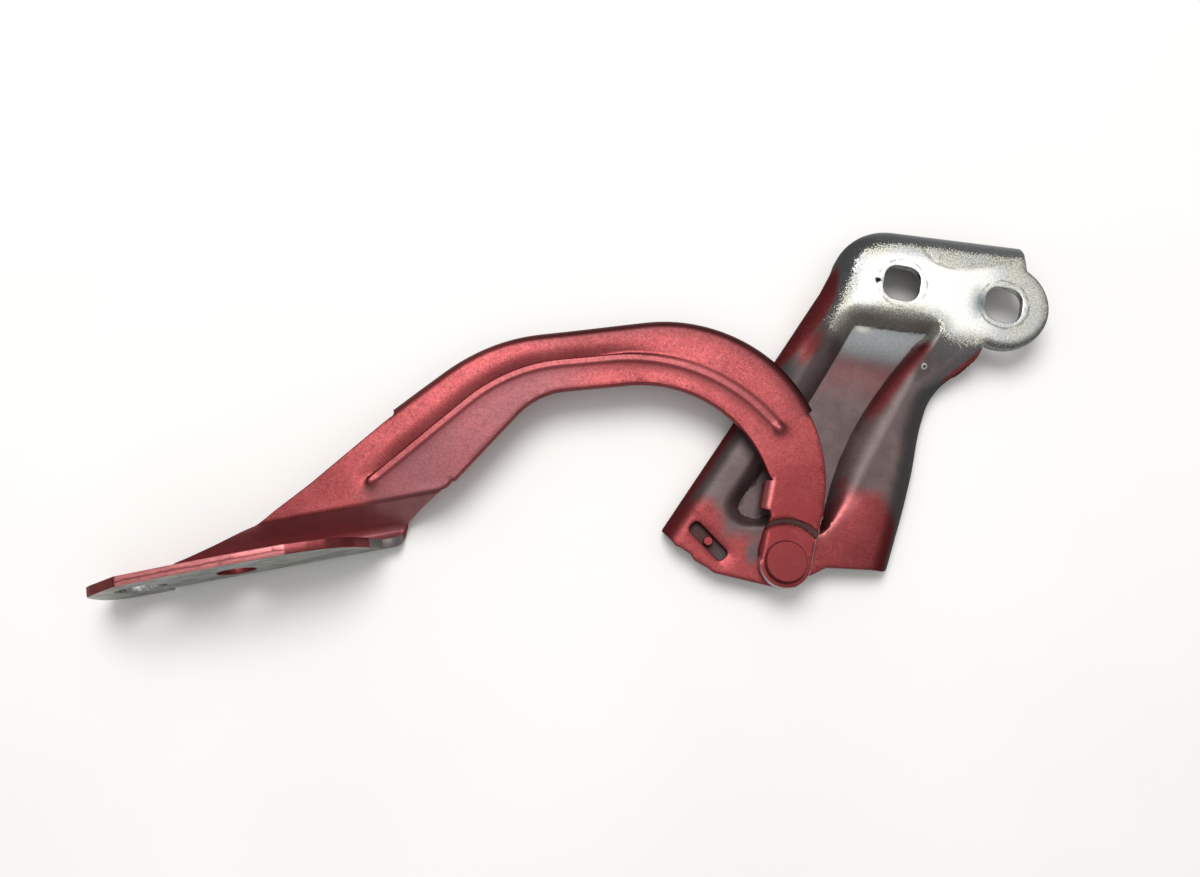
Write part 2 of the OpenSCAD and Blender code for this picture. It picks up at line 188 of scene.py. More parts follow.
# ------------------------------------------------------------------ pressed sheet
def pressed(name, loops, surf, t, rows, grid, er, masks, step):
    """A sheet of thickness t over a flat blank. loops: the blank's outline and holes; surf(P, d): the point of the sheet at depth d under blank point P; rows: extra points along its features; er: the radius of its cut edges."""
    loops = [even(L, step) for L in loops]
    loops = [L if (area(L) > 0) == (i == 0) else L[::-1].copy() for i, L in enumerate(loops)]
    outs = [outward(L) for L in loops]
    inner = [L - er * o for L, o in zip(loops, outs)]
    lo, hi = loops[0].min(0), loops[0].max(0)
    base = [(x + (grid / 2 if j % 2 else 0), y) for j, y in enumerate(np.arange(lo[1], hi[1], grid * 0.866)) for x in np.arange(lo[0], hi[0], grid)]
    rows = np.concatenate(rows) if len(rows) else np.zeros((0, 2))
    cand = np.concatenate([rows, np.array(base)])
    weight = np.concatenate([np.full(len(rows), 0.3), np.full(len(base), grid * 0.62)])
    ok = inside(cand, inner)
    cand, weight = cand[ok], weight[ok]
    edge = np.concatenate(inner)
    tree = kdtree.KDTree(len(edge))
    for i, p in enumerate(edge):
        tree.insert((p[0], p[1], 0), i)
    tree.balance()
    far = np.array([tree.find((p[0], p[1], 0))[2] for p in cand])
    ok = far > np.where(weight < 0.5, 0.4, 0.6 * min(step, grid))
    cand, weight = cand[ok], weight[ok]
    cell, kept = {}, []
    for p, w in zip(cand, weight):
        key = (int(p[0] // 1.0), int(p[1] // 1.0))
        near = [q for dx in (-1, 0, 1) for dy in (-1, 0, 1) for q in cell.get((key[0] + dx, key[1] + dy), ())]
        if all((p[0] - q[0]) ** 2 + (p[1] - q[1]) ** 2 > w * w for q in near):
            cell.setdefault(key, []).append(p)
            kept.append(p)
    pts, edges, first = [], [], []
    for L in inner:
        s = len(pts)
        first.append(s)
        pts += [Vector((p[0], p[1])) for p in L]
        edges += [(s + i, s + (i + 1) % len(L)) for i in range(len(L))]
    n_edge = len(pts)
    pts += [Vector((p[0], p[1])) for p in kept]
    vs, es, fs, ov, oe, of_ = delaunay_2d_cdt(pts, edges, [], 0, 1e-6, True)
    V = np.array([(v.x, v.y) for v in vs])
    where = {o: i for i, ids in enumerate(ov) for o in ids}
    F = np.array([f for f in fs if len(f) == 3], int)
    F = F[inside(V[F].mean(1), inner)]
    a, b = V[F[:, 1]] - V[F[:, 0]], V[F[:, 2]] - V[F[:, 0]]
    flip = a[:, 0] * b[:, 1] - a[:, 1] * b[:, 0] < 0
    F[flip] = F[flip][:, ::-1]
    used = np.unique(F)
    back = np.full(len(V), -1)
    back[used] = np.arange(len(used))
    F, V = back[F], V[used]
    nv = len(V)
    pos, dom, kind = [surf(V, np.zeros(nv)), surf(V, np.full(nv, t))], [V, V], [np.zeros(nv), np.full(nv, 2.0)]
    faces = [tuple(f) for f in F] + [tuple(f[::-1] + nv) for f in F]
    total = 2 * nv
    prof = [(er * math.sin(v), er * (1 - math.cos(v))) for v in (math.pi / 6, math.pi / 3, math.pi / 2)]
    prof = prof + [(er, t / 2)] + [(o, t - d) for o, d in prof[::-1]]
    for L, o, s in zip(inner, outs, first):
        n = len(L)
        ring = [np.array([back[where[s + i]] for i in range(n)])]
        for off, d in prof:
            pos.append(surf(L + o * off, np.full(n, d)))
            dom.append(L + o * off)
            kind.append(np.full(n, 1.0))
            ring.append(np.arange(total, total + n))
            total += n
        ring.append(ring[0] + nv)
        for r0, r1 in zip(ring[:-1], ring[1:]):
            for i in range(n):
                k = (i + 1) % n
                faces.append((int(r0[i]), int(r1[i]), int(r1[k]), int(r0[k])))
    pos, dom, kind = np.concatenate(pos), np.concatenate(dom), np.concatenate(kind)
    mesh = bpy.data.meshes.new(name)
    mesh.from_pydata((pos * MM).tolist(), [], [tuple(int(v) for v in f) for f in faces])
    mesh.validate()
    mesh.shade_smooth()
    mesh.set_sharp_from_angle(angle=math.radians(38))
    for key, values in masks(dom, pos, kind).items():
        at = mesh.attributes.new(key, "FLOAT", "POINT")
        at.data.foreach_set("value", np.asarray(values, np.float32))
    ob = bpy.data.objects.new(name, mesh)
    bpy.context.scene.collection.objects.link(ob)
    return ob


def row_set(path, offsets, step):
    """Rows of points beside a polyline, at signed distances from it (left positive)."""
    path = even(path, step, closed=False)
    d = np.gradient(path, axis=0)
    n = np.stack([-d[:, 1], d[:, 0]], 1) / np.linalg.norm(d, axis=1)[:, None]
    return [path + n * o for o in offsets]


# ------------------------------------------------------------------ arm
P0 = np.array((-41.0, -108.5))
AC, SC, IC = (-86.5, -88.5), (-119.5, -111.0), (-92.5, -103.0)
ARCH_R, A0, A1, A2, LEN1, BARE = 56.5, 37.5, 109.6, 141.2, 23.0, 2.3
SMALL_R = (AC[0] - SC[0]) * math.cos(math.radians(A1)) + (AC[1] - SC[1]) * math.sin(math.radians(A1)) + ARCH_R
LIP_R, LIP_H, ARM_T, TOP, STEP_Z = 4.0, 7.0, 3.5, 2.5, 4.0
LIP_S = LIP_R * math.pi / 2 + LIP_H - LIP_R
BC, BD, BR2 = (-113.0, -113.2), (-94.0, -113.9), 65.2
BR1 = (BD[0] - BC[0]) * math.cos(math.radians(108.4)) + (BD[1] - BC[1]) * math.sin(math.radians(108.4)) + BR2
BEAD = even([on_line(BC, BR1, 144, 43)] + arc(BC, BR1, 144, 108.4, 12) + arc(BD, BR2, 108.4, 50, 24), 1.0, closed=False)
LIP = even([on_line(SC, SMALL_R - LIP_R, A2, LEN1 + 1.5)] + arc(SC, SMALL_R - LIP_R, A2, A1, 14) + arc(AC, ARCH_R - LIP_R, A1, A0, 30) + [on_line(AC, ARCH_R - LIP_R, A0, -1.5)], 0.8, closed=False)
F0, FU, FN = np.array((-194.2, -126.0)), np.array((0.91706007, 0.39874907)), np.array((0.39874907, -0.91706007))
BEND, FACET, FOLD_R = 1.8, math.radians(64), 2.5
Q0 = -BEND * math.tan(FACET / 2)
FOLD_C = (FOLD_R * math.sin(FACET) + (TOP + 15 - ARM_T - FOLD_R + FOLD_R * math.cos(FACET)) / math.tan(FACET), -15 + ARM_T + FOLD_R)
S1 = BEND * FACET
S2 = S1 + math.hypot(FOLD_C[0] - FOLD_R * math.sin(FACET) - (Q0 + BEND * math.sin(FACET)), FOLD_C[1] - FOLD_R * math.cos(FACET) - (TOP - BEND + BEND * math.cos(FACET)))
S3 = S2 + FOLD_R * (math.pi / 2 + FACET)
TAB_X, TAB_R, TAB_H = -50.3, 3.0, 10.0
TAB_S = TAB_R * math.pi / 2 + TAB_H - TAB_R
SLIT = -63.0


def raw(u, s):
    """Blank point at u along the flange and s along the sheet from the start of the first bend."""
    p = F0 + u * FU + (s + Q0) * FN
    return (p[0], p[1])


def blank(u, s):
    """The same, with s counted as if the first bend had a 4 mm radius."""
    return raw(u, s - (4 - BEND) * (FACET - math.tan(FACET / 2)))


def plate_pt(u, z):
    return raw(u, S3 + z - FOLD_C[1])


def arm_base(P):
    n = len(P)
    pos, nrm = np.concatenate([P, np.full((n, 1), TOP)], 1), np.tile((0.0, 0.0, 1.0), (n, 1))
    u, s = (P - F0) @ FU, (P - F0) @ FN - Q0
    # rolled outer edge
    d, foot, along, side, over = nearest(P, LIP)
    v = (P - foot) / np.maximum(d, 1e-9)[:, None]
    m = (side > 0) & (over == 0) & (d < 12) & (d > 1e-9) & (s < 0)
    th = np.minimum(d / LIP_R, math.pi / 2)
    wall = np.maximum(d - LIP_R * math.pi / 2, 0)
    flat = foot + v * (LIP_R * np.sin(th))[:, None]
    pos[m, :2] = flat[m]
    pos[m, 2] = (TOP - LIP_R * (1 - np.cos(th)) - wall)[m]
    nrm[m, :2] = (v * np.sin(th)[:, None])[m]
    nrm[m, 2] = np.cos(th)[m]
    # the cut edge beside it still sags a little
    e = np.abs(over)
    m = (side > 0) & (over != 0) & (e < 5) & (d < 6) & (s < 0)
    x = np.minimum(np.sqrt(np.maximum(d ** 2 - e ** 2, 0)), 3.0)
    pos[m, 2] -= (LIP_R * (1 - np.cos(x / LIP_R)) * (1 - smooth(0, 4, e)))[m]
    # facet, fold and flange plate
    m = (s > 0) & (u < 45) & (P[:, 0] < -150)
    q, z, nq, nz = np.zeros(n), np.zeros(n), np.zeros(n), np.ones(n)
    th = s / BEND
    k = m & (s < S1)
    q[k], z[k], nq[k], nz[k] = (Q0 + BEND * np.sin(th))[k], (TOP - BEND + BEND * np.cos(th))[k], np.sin(th)[k], np.cos(th)[k]
    k = m & (s >= S1) & (s < S2)
    q[k] = (Q0 + BEND * math.sin(FACET) + (s - S1) * math.cos(FACET))[k]
    z[k] = (TOP - BEND + BEND * math.cos(FACET) - (s - S1) * math.sin(FACET))[k]
    nq[k], nz[k] = math.sin(FACET), math.cos(FACET)
    k = m & (s >= S2) & (s < S3)
    ph = math.pi * 1.5 - FACET + (s - S2) / FOLD_R
    q[k], z[k], nq[k], nz[k] = (FOLD_C[0] + FOLD_R * np.cos(ph))[k], (FOLD_C[1] + FOLD_R * np.sin(ph))[k], -np.cos(ph)[k], -np.sin(ph)[k]
    k = m & ((s >= S3) | ((u < SLIT) & (s > S2 - 2)))
    q[k], z[k], nq[k], nz[k] = FOLD_C[0] + FOLD_R, (FOLD_C[1] + s - S3)[k], -1.0, 0.0
    pos[m, :2] = (F0 + u[:, None] * FU + q[:, None] * FN)[m]
    pos[m, 2] = z[m]
    nrm[m, :2] = (nq[:, None] * FN)[m]
    nrm[m, 2] = nz[m]
    # stop tab
    x = TAB_X - P[:, 0]
    m = (x > 0) & (P[:, 1] > -93.2) & (P[:, 1] < -82.0) & (P[:, 0] > -64)
    th = np.minimum(x / TAB_R, math.pi / 2)
    wall = np.maximum(x - TAB_R * math.pi / 2, 0)
    pos[m, 0] = (TAB_X - TAB_R * np.sin(th))[m]
    pos[m, 2] = (TOP - TAB_R * (1 - np.cos(th)) - wall)[m]
    nrm[m, 0], nrm[m, 1], nrm[m, 2] = -np.sin(th)[m], 0.0, np.cos(th)[m]
    return pos, nrm


def bead_profile(d, ring, ease=0.0):
    """Height over the bead at signed distance d (outer side positive): a hollow beside it, a narrow flat crest, a soft inner foot."""
    x = np.clip((d - 1.2) / 6.0, 0, 1)
    hollow = (0.34 * ease - 1.35 * ring) * (1 - x) ** 2
    foot = 0.28 * np.exp(np.minimum(d + 1.5, 0) / 1.6) * smooth(-6.5, -3.0, d)
    crest = 0.50 - 0.02 * np.clip(d, -1.2, 1.2)
    v = smooth(-1.75, -1.1, d)
    out = foot * (1 - v) + crest * v
    w = np.clip((d - 0.82) / (0.86 + 0.6 * ease), 0, 1)
    return out * (1 - w) + hollow * w


def arm_height(P):
    d, foot, along, side, over = nearest(P, BEAD)
    total = np.linalg.norm(np.diff(BEAD, axis=0), axis=1).sum()
    fade = (0.45 + 0.55 * smooth(0, 14, along)) * (1 - 0.85 * smooth(0.52, 0.80, along / total))
    h = np.where(over == 0, bead_profile(side * d, fade, smooth(0.5, 0.8, along / total)), 0.0)
    for end, sign in ((0, -1), (-1, 1)):
        p, t = BEAD[end], BEAD[1] - BEAD[0] if end == 0 else BEAD[-1] - BEAD[-2]
        n = np.array((-t[1], t[0])) / np.linalg.norm(t)
        v = P - p
        r = np.linalg.norm(v, axis=1)
        w = 0.5 + 0.5 * np.clip((v @ n) / np.maximum(r, 1e-6), -1, 1)
        k = over * sign > 0
        ring, ease, dome = (0.45, 0.0, 0.5) if end == 0 else (0.15, 1.0, 0.7)
        h[k] = (bead_profile(r, ring, ease) * w + bead_profile(-r, ring, ease) * (1 - w))[k]
        h = h + dome * hump(r, 1.8)
    rel = P - P0
    r = np.linalg.norm(rel, axis=1)
    h = h - STEP_Z * smooth(14.7, 12.9, r)
    # the pivot end's left edge leans down
    h = h - 1.3 * smooth(-7.4, -10.2, rel[:, 0]) * smooth(-2.6, -0.4, rel[:, 1]) * smooth(11.0, 8.0, rel[:, 1]) * smooth(14, 12.5, r)
    # the press leaves the flats slightly uneven
    h = h + 0.08 * np.sin(P[:, 0] * 0.11 + 1.0) * np.sin(P[:, 1] * 0.13)
    return h


EDGE_A, EDGE_T = np.array(blank(-28.4, 2.75)), -0.93 * FU + 0.3676 * FN
EDGE_N = 0.3676 * FU + 0.93 * FN


def arm_surf(P, d):
    x, a = (P - EDGE_A) @ EDGE_N, (P - EDGE_A) @ EDGE_T
    w = np.where((x > -2) & ((P - F0) @ FU > SLIT), smooth(8.0, 0.5, x), 0.0) * smooth(-9, -3, a) * smooth(46, 40, a)
    P = P + EDGE_N * (1.05 * d * w)[:, None]
    pos, nrm = arm_base(P)
    u, s = (P - F0) @ FU, (P - F0) @ FN - Q0
    h = arm_height(P) * np.where((s > -1) & (u < 45) & (P[:, 0] < -150), 0.0, 1.0)
    out = pos + nrm * (h - d)[:, None]
    near = np.linalg.norm(P - P0, axis=1) < 12.5
    out[near, 2] = np.maximum(out[near, 2], TOP - STEP_Z - ARM_T)
    return out


plate_edge = [plate_pt(*p) for p in [(11.9, -8.2), (11.1, -6.6), (10.3, -4.2), (9.3, -0.9), (7.7, 2.7), (5.6, 6.6), (2.4, 10.6), (-2.0, 13.9), (-8.0, 16.2), (-14.6, 17.7), (-31.0, 18.0), (-53.0, 17.1), (-70.6, 15.4), (-74.5, 12.6), (-78.5, 9.6), (-82.4, 6.8), (-84.6, 4.6), (-85.8, 1.8), (-86.2, -2.0), (-86.0, -6.0)] + arc((-77, -6), 9, 184, 270, 8)]
arm_outline = (
    [blank(-28.4, 2.75), (-205.5, -119.0), on_line(SC, SMALL_R - BARE, A2, LEN1 + 1.2), on_line(SC, SMALL_R - BARE + 0.9, A2, LEN1 + 0.1)]
    + [on_line(SC, SMALL_R - LIP_R + LIP_S - 0.7, A2, LEN1 - 0.1), on_line(SC, SMALL_R - LIP_R + LIP_S, A2, LEN1 - 0.8)]
    + arc(SC, SMALL_R - LIP_R + LIP_S, A2, A1, 14)
    + arc(AC, ARCH_R - LIP_R + LIP_S, A1, A0 + 0.9, 30)
    + [on_line(AC, ARCH_R - LIP_R + LIP_S - 0.7, A0, 0.1), on_line(AC, ARCH_R - BARE + 0.9, A0, -0.1)]
    + arc(AC, ARCH_R - BARE, A0 - 1.1, 1, 14)
    + [(-31.9, -91.6), (-32.6, -93.2), (-32.1, -99.0)]
    + arc(P0, 9.0, 8, -176, 40)
    + [(-50.6, -106.0), (-50.1, -98.5), (-49.3, -94.9), (-50.0, -93.0), (TAB_X - TAB_S + 5.0, -92.3), (TAB_X - TAB_S + 2.0, -91.7), (TAB_X - TAB_S + 0.6, -90.9), (TAB_X - TAB_S, -89.7), (TAB_X - TAB_S, -83.4), (TAB_X - TAB_S + 0.8, -82.6), (-51.2, -82.4), (-52.0, -81.6)]
    + arc(IC, 45.5, 29.5, 109, 24)
    + arc((-119.7, -91.5), 25.9, 109, 149.8, 10)
    + [(-157.6, -106.6), (-158.9, -107.4), (-159.9, -109.5)]
    + [blank(37.0, 1.3), blank(34.4, 3.5), blank(32.8, 5.2), blank(29.9, 7.9), blank(27.2, 10.7), blank(24.2, 13.9), blank(21.5, 16.8), raw(19.6, 18.3), raw(17.7, 20.4), raw(16.5, 21.2), raw(15.0, 21.7), raw(13.3, 21.95)]
    + plate_edge
    + [plate_pt(SLIT - 0.3, -15), plate_pt(SLIT - 0.3, FOLD_C[1] + 0.6), plate_pt(SLIT + 0.3, FOLD_C[1] + 0.6), blank(SLIT + 0.3, 16.4), blank(-60.5, 15.3), blank(-55.6, 13.7), blank(-50.3, 11.6), blank(-44.2, 9.2), blank(-37.6, 6.3), blank(-33.1, 4.4)]
)
SLOT_U, HOLE_U, HOLE_Z = -68.0, -36.0, 1.0
arm_holes = [
    np.array([plate_pt(u, z) for u, z in arc((HOLE_U, HOLE_Z), 6.25, 0, 354, 59)]),
    np.array([plate_pt(u, z) for u, z in arc((SLOT_U + 2, HOLE_Z), 6.25, -90, 90, 24) + arc((SLOT_U - 2, HOLE_Z), 6.25, 90, 270, 24)]),
    np.array(arc(P0, 5.5, 0, 354, 59)),
]
fold_line = [raw(-66, 0), raw(45, 0)]
arm_rows = (
    row_set(BEAD, (7.3, 6.3, 5.3, 4.3, 3.5, 2.75, 2.2, 1.70, 0.80, 0.3, -0.2, -0.65, -1.1, -1.55, -2.0, -2.6, -3.4, -4.4, -5.4, -6.5), 0.8)
    + [np.array(BEAD[e] + r * np.array((math.cos(a), math.sin(a)))).reshape(1, 2) for e in (0, -1) for r in (0.5, 0.8, 1.0, 1.3, 1.6, 2.1, 2.8, 3.8, 5.0, 6.3) for a in np.linspace(0, 2 * math.pi, int(8 + r * 4), endpoint=False)]
    + row_set(LIP, (-2.2, -1.1, -0.3, 0.5, 1.2, 1.9, 2.6, 3.3, 4.0, 4.7, 5.4, 6.2, 7.2, 8.2), 1.1)
    + row_set(fold_line, [-v for v in (-1.8, -0.7, -0.1, 0.3, 0.7, 1.1, 1.5, 1.9, 2.3, 3.2, 4.4, 13.6, 14.6, 15.2, 15.9, 16.6, 17.3, 18.0, 18.7, 19.4, 20.1, 20.8, 21.5, 22.3, 23.3)], 1.3)
    + [np.array(arc(P0, r, -40, 220, int(r * 4.6))) for r in (11.6, 12.2, 12.6, 12.9, 13.2, 13.5, 13.8, 14.1, 14.4, 14.7, 15.1, 15.8)]
    + [np.stack([np.full(14, x), np.linspace(-112.0, -97.0, 14)], 1) for x in (-51.0, -50.4, -49.8, -49.2, -48.6, -48.0, -47.2)]
    + [np.stack([np.full(13, TAB_X - x), np.linspace(-92.2, -82.8, 13)], 1) for x in (-1.5, -0.6, 0.1, 0.8, 1.5, 2.2, 2.9, 3.6, 4.3, 5.2, 6.6, 8.0, 9.4, 10.6)]
)


def arm_masks(D, pos, kind):
    u, s = (D - F0) @ FU, (D - F0) @ FN - Q0
    flange = (s > 0) & (u < 45) & (D[:, 0] < -150)
    zinc = np.where(flange & (kind > 1.5), smooth(S2 - 2, S3 - 2, s), 0.0)
    worn_end = np.where(flange & (kind == 1.0) & (u > 4) & (s > S2), smooth(8.0, 10.0, u) * smooth(20.0, 17.0, u), 0.0)
    r = np.linalg.norm(D - P0, axis=1)
    ang = np.degrees(np.arctan2(D[:, 1] - P0[1], D[:, 0] - P0[0]))
    rim = np.where(kind == 1.0, 1.0, 0.0)
    d, foot, along, side, over = nearest(D, BEAD)
    crest = np.where(kind < 0.5, smooth(1.75, 0.8, d), 0.0)
    total = np.linalg.norm(np.diff(BEAD, axis=0), axis=1).sum()
    # painted shade: a dark soft band beside the bead's inner side, along its right part
    bead_inner_shade = np.where((kind < 0.5) & (side < 0), smooth(1.2, 2.0, d) * smooth(6.0, 2.0, d), 0.0) * smooth(0.42, 0.72, along / total) * smooth(3.0, 0.0, np.abs(over))
    dl = nearest(D, LIP)
    arch = smooth(-158, -132, D[:, 0])
    lip_at = (dl[3] * dl[0] - (0.6 - 6.0 * arch)) / (4.2 + 5.4 * arch)
    # painted shade: the rolled outer lip is darkened
    lip = np.where((dl[4] == 0) & (dl[0] < 14), smooth(0, 1, lip_at), 0.0)
    # painted shade: the arch's inner flat, inside the bead, is made a duller, darker rose
    rose = np.where(side < 0, smooth(0.5, 3.0, d), 0.0) * smooth(-112, -140, D[:, 0]) * np.where(kind < 0.5, 1.0, 0.0) * smooth(10, 0, np.abs(over))
    # painted highlight: the stop tab's face is made a lighter pink
    tab = np.where((D[:, 0] < TAB_X + 0.4) & (D[:, 0] > -66) & (D[:, 1] > -93.2) & (D[:, 1] < -82.0), 1.0, 0.0)
    # painted shade: towards the pivot the red is made darker and more saturated
    near = smooth(48, 16, r)
    # painted highlight along the flange plate's long cut edge
    strip = np.where(flange & (kind == 1.0) & (s > S3 + 14) & (u > -70.4) & (u < -14.8), 1.0, 0.0)
    zinc = np.where(flange & (kind == 1.0) & (s > S2) & (s < S3 + 1.5) & (u < SLIT + 1.0), 1.0, zinc)
    z_flat = s - S3 + FOLD_C[1]
    zinc = np.where(flange & (kind == 1.0) & (np.hypot(np.maximum(np.abs(u - SLOT_U) - 2, 0), z_flat - HOLE_Z) < 7.5), 1.0, zinc)
    through = np.clip(((pos[:, :2] - F0) @ FN - FOLD_C[0] - FOLD_R) / ARM_T, 0, 1)
    shade = np.where(flange, smooth(0.5, 2.4, s) * smooth(S3 + 3, S3, s), 0.0) * np.where(kind < 0.5, 1.0, 0.0)
    cut = np.where((kind == 1.0) & (((r < 9.6) & (ang > -178) & (ang < 60)) | ((D[:, 0] > -34.5) & (D[:, 1] < -91.5) & (D[:, 1] > -109))), 1.0, 0.0)
    band = smooth(11.0, 11.5, r) * smooth(16.0, 15.5, r) * np.where((ang > 0) & (ang < 200), 1.0, 0.0)
    return {"tab": tab, "edge": np.where(flange, rim, 0.0), "rose": rose, "near": near, "su": u, "sd": through, "lip": lip, "foot": bead_inner_shade, "strip": strip, "shade": shade, "cut": cut, "zinc": np.maximum(zinc, 0), "primer": np.where(kind < 0.5, band, 0.0), "rim": rim, "worn": worn_end, "crest": crest, "under": np.where(kind > 1.5, 1.0, 0.0)}


# ------------------------------------------------------------------ bracket
BR_T, ROLL, LOW, FLAT_Z, FLOOR_Z = 3.0, 7.5, -13.5, -6.0, -12.0
left_top = fillet([(-84.5, -106.5), (-65, -56.5), (-45.5, -6.5), (-42.5, 4)] + arc((-23, 1.5), 20, 165, 95, 10) + [(20.5, 25.5)], 12, closed=False)
right_edge = fillet([(13.5, -16.5), (13, -20), (9, -25.5), (3.5, -32), (0.5, -38.5), (-1, -50), (-1, -65), (-2, -80), (-4, -100)], 14, closed=False)


def shifted(path, w):
    d = np.gradient(path, axis=0)
    n = np.stack([-d[:, 1], d[:, 0]], 1) / np.linalg.norm(d, axis=1)[:, None]
    return path + n * np.asarray(w).reshape(-1, 1)


def longer(path, before, after):
    a, b = path[0] - path[1], path[-1] - path[-2]
    return np.concatenate([[path[0] + a / np.linalg.norm(a) * before], path, [path[-1] + b / np.linalg.norm(b) * after]])


lt = even(left_top, 1.0, closed=False)
BEND_L = even(longer(shifted(lt, -ROLL), 5.0, 4.0), 1.0, closed=False)
re_ = even(right_edge, 1.0, closed=False)
low_r = shifted(re_, -ROLL)
bend_pts = [(9.5, -15.5), (6.8, -19.5), (3.0, -24.0), (-1.5, -29.0), (-5.0, -34.8), (-7.4, -41.5)] + [tuple(v) for v in low_r[low_r[:, 1] < -47][::6]] + [tuple(low_r[-1])]
BEND_R = longer(even(fillet(bend_pts, 18, closed=False), 1.0, closed=False), 0.001, 6.0)
bend_r_len = np.concatenate([[0], np.cumsum(np.linalg.norm(np.diff(BEND_R, axis=0), axis=1))])
bend_r_roll = np.minimum(np.where(BEND_R[:, 1] < -47, ROLL, nearest(BEND_R, re_)[0]), ROLL)


def turn_r(along):
    """The right-hand flange turns down gradually from the ear."""
    return math.pi / 2 * smooth(0, 10, along)


LEN_L = np.linalg.norm(np.diff(BEND_L, axis=0), axis=1).sum()


def z_top(P):
    return FLAT_Z * smooth(-14.0, -34.0, P[:, 1])


RIM = even(fillet([(-39.4, -17), (-35.3, -12.3), (-24.6, -10.4), (-14, -9.3), (-4.8, -9.6), (-1.4, -13), (-4.5, -24.8), (-9.2, -41.2), (-13.8, -57.4), (-19.0, -73.3), (-23.0, -84.7), (-28.0, -93.6)]
                  + arc(P0, 13.2, 52, 118, 8) + [(-56.2, -99.9), (-62, -98.9), (-65, -95.2), (-65.2, -91), (-58, -73), (-47.8, -42)], 6), 1.0)
floor_pts = [(-32.6, -20.5), (-31.0, -16.0), (-26, -15.7), (-18.5, -15.4), (-10, -14.6), (-3.9, -13.3), (-8.7, -20.1), (-12.4, -27.0), (-15.5, -33.0), (-18.7, -40.1), (-21.8, -47.7), (-24.7, -56.1), (-27.3, -66.6), (-28.7, -75.8), (-29.4, -86)]
floor_pts += arc(P0, 18.3, 52, 118, 8) + [(-51.5, -94.4), (-57.4, -94.6), (-59.8, -91.5), (-57.4, -84.8), (-54.4, -79.0), (-48, -64), (-40.6, -45.2), (-37.1, -35.1), (-34.4, -27)]
FLOOR = even(fillet(floor_pts, [2, 1.5, 2, 2, 2, 0.7] + [2] * (len(floor_pts) - 6)), 1.0)


def bracket_height(P):
    z = z_top(P)
    d1, d2 = nearest(P, FLOOR, True)[0], nearest(P, RIM, True)[0]
    in_floor, in_rim = inside(P, [FLOOR]), inside(P, [RIM])
    f = np.where(in_floor, 1.0, np.where(in_rim, d2 / np.maximum(d1 + d2, 1e-9), 0.0))
    w = f ** 2.0
    z = z + (FLOOR_Z + 3.5 * smooth(-36, -13, P[:, 1]) - z) * w
    # shallow dish beside the right-hand bolt hole, faint press line across the mating face
    z = z - 0.8 * hump(np.hypot((P[:, 0] - 11.0) / 1.1, (P[:, 1] + 0.8) / 1.9), 2.2)
    line = nearest(P, PAD_LINE)[0]
    z = z - 0.10 * hump(line, 0.9)
    # the ear's cut edge is drawn down, most on its lower side
    ex, ey = P[:, 0] - 18.5, P[:, 1]
    near = 16.4 - np.hypot(ex, ey)
    a = np.degrees(np.arctan2(ey, ex))
    amp = np.where((a > -135) & (a < 75), 0.45 + 1.0 * smooth(10, -50, a) * smooth(-135, -110, a), 0.0) * smooth(75, 60, a) * smooth(-112, -98, a)
    z = z - amp * np.clip(1 - near / 2.8, 0, 1.2) ** 2
    # pip, dings and slight unevenness
    z = z + 0.5 * hump(np.hypot(P[:, 0] + 4.7, P[:, 1] + 27.7), 0.9)
    for x, y, w_, a in ((-73.2, -99.0, 0.9, -0.22), (-70.8, -97.5, 0.7, -0.18), (-27.5, -31.5, 1.0, -0.2), (-58.2, -111.6, 0.8, -0.2), (-16.0, -88.5, 1.4, -0.12)):
        z = z + a * hump(np.hypot(P[:, 0] - x, P[:, 1] - y), w_)
    z = z + 0.12 * np.sin(P[:, 0] * 0.14 + 0.6) * np.sin(P[:, 1] * 0.10 + 0.4) * smooth(-5, -25, P[:, 1])
    # the slot's lips bulge round the peg
    c, sn = math.cos(math.radians(-34)), math.sin(math.radians(-34))
    a, b = (P[:, 0] + 67.8) * c + (P[:, 1] + 106.6) * sn, -(P[:, 0] + 67.8) * sn + (P[:, 1] + 106.6) * c
    z = z - 0.35 * hump(np.maximum(np.abs(b) - 2.3, 0), 1.3) * smooth(11.5, 8.0, np.abs(a))
    return z


PAD_LINE = fillet([(-12.4, 14.2), (-8.2, 10.7), (-2.5, 9.6), (4.7, 10.5), (9.9, 12.5), (20.3, 16.5)], 8, closed=False)


def bracket_surf(P, depth):
    n = len(P)
    z = bracket_height(P)
    pos, nrm = np.concatenate([P, z[:, None]], 1), np.tile((0.0, 0.0, 1.0), (n, 1))
    best = np.full(n, 1e9)
    for path, radii in ((BEND_L, None), (BEND_R, (bend_r_len, bend_r_roll))):
        d, foot, along, side, over = nearest(P, path)
        r = np.full(n, ROLL) if radii is None else np.interp(along, *radii)
        m = (side > 0) & (over == 0) & (d < 26) & (d < best) & (d > 1e-9)
        best[m] = d[m]
        v = (P - foot) / np.maximum(d, 1e-9)[:, None]
        turn, own = (np.full(n, math.pi / 2), np.ones(n)) if radii is None else (turn_r(along), smooth(0, 7, along))
        th = np.minimum(d / r, turn)
        wall = np.maximum(d - r * turn, 0)
        flat = foot + v * (r * np.sin(th) + wall * np.cos(turn))[:, None]
        pos[m, :2] = flat[m]
        pos[m, 2] = (own * bracket_height(foot) + (1 - own) * z - r * (1 - np.cos(th)) - wall * np.sin(turn))[m]
        nrm[m, :2] = (v * np.sin(th)[:, None])[m]
        nrm[m, 2] = np.cos(th)[m]
    out = pos - nrm * depth[:, None]
    out[:, 2] = np.maximum(out[:, 2], -15.0)
    return out


def s_end(foot, r, share=1.0):
    drop = (z_top(foot) - LOW) * share
    return np.where(drop > r, r * math.pi / 2 + drop - r, r * np.arccos(np.clip(1 - drop / r, -1, 1)))


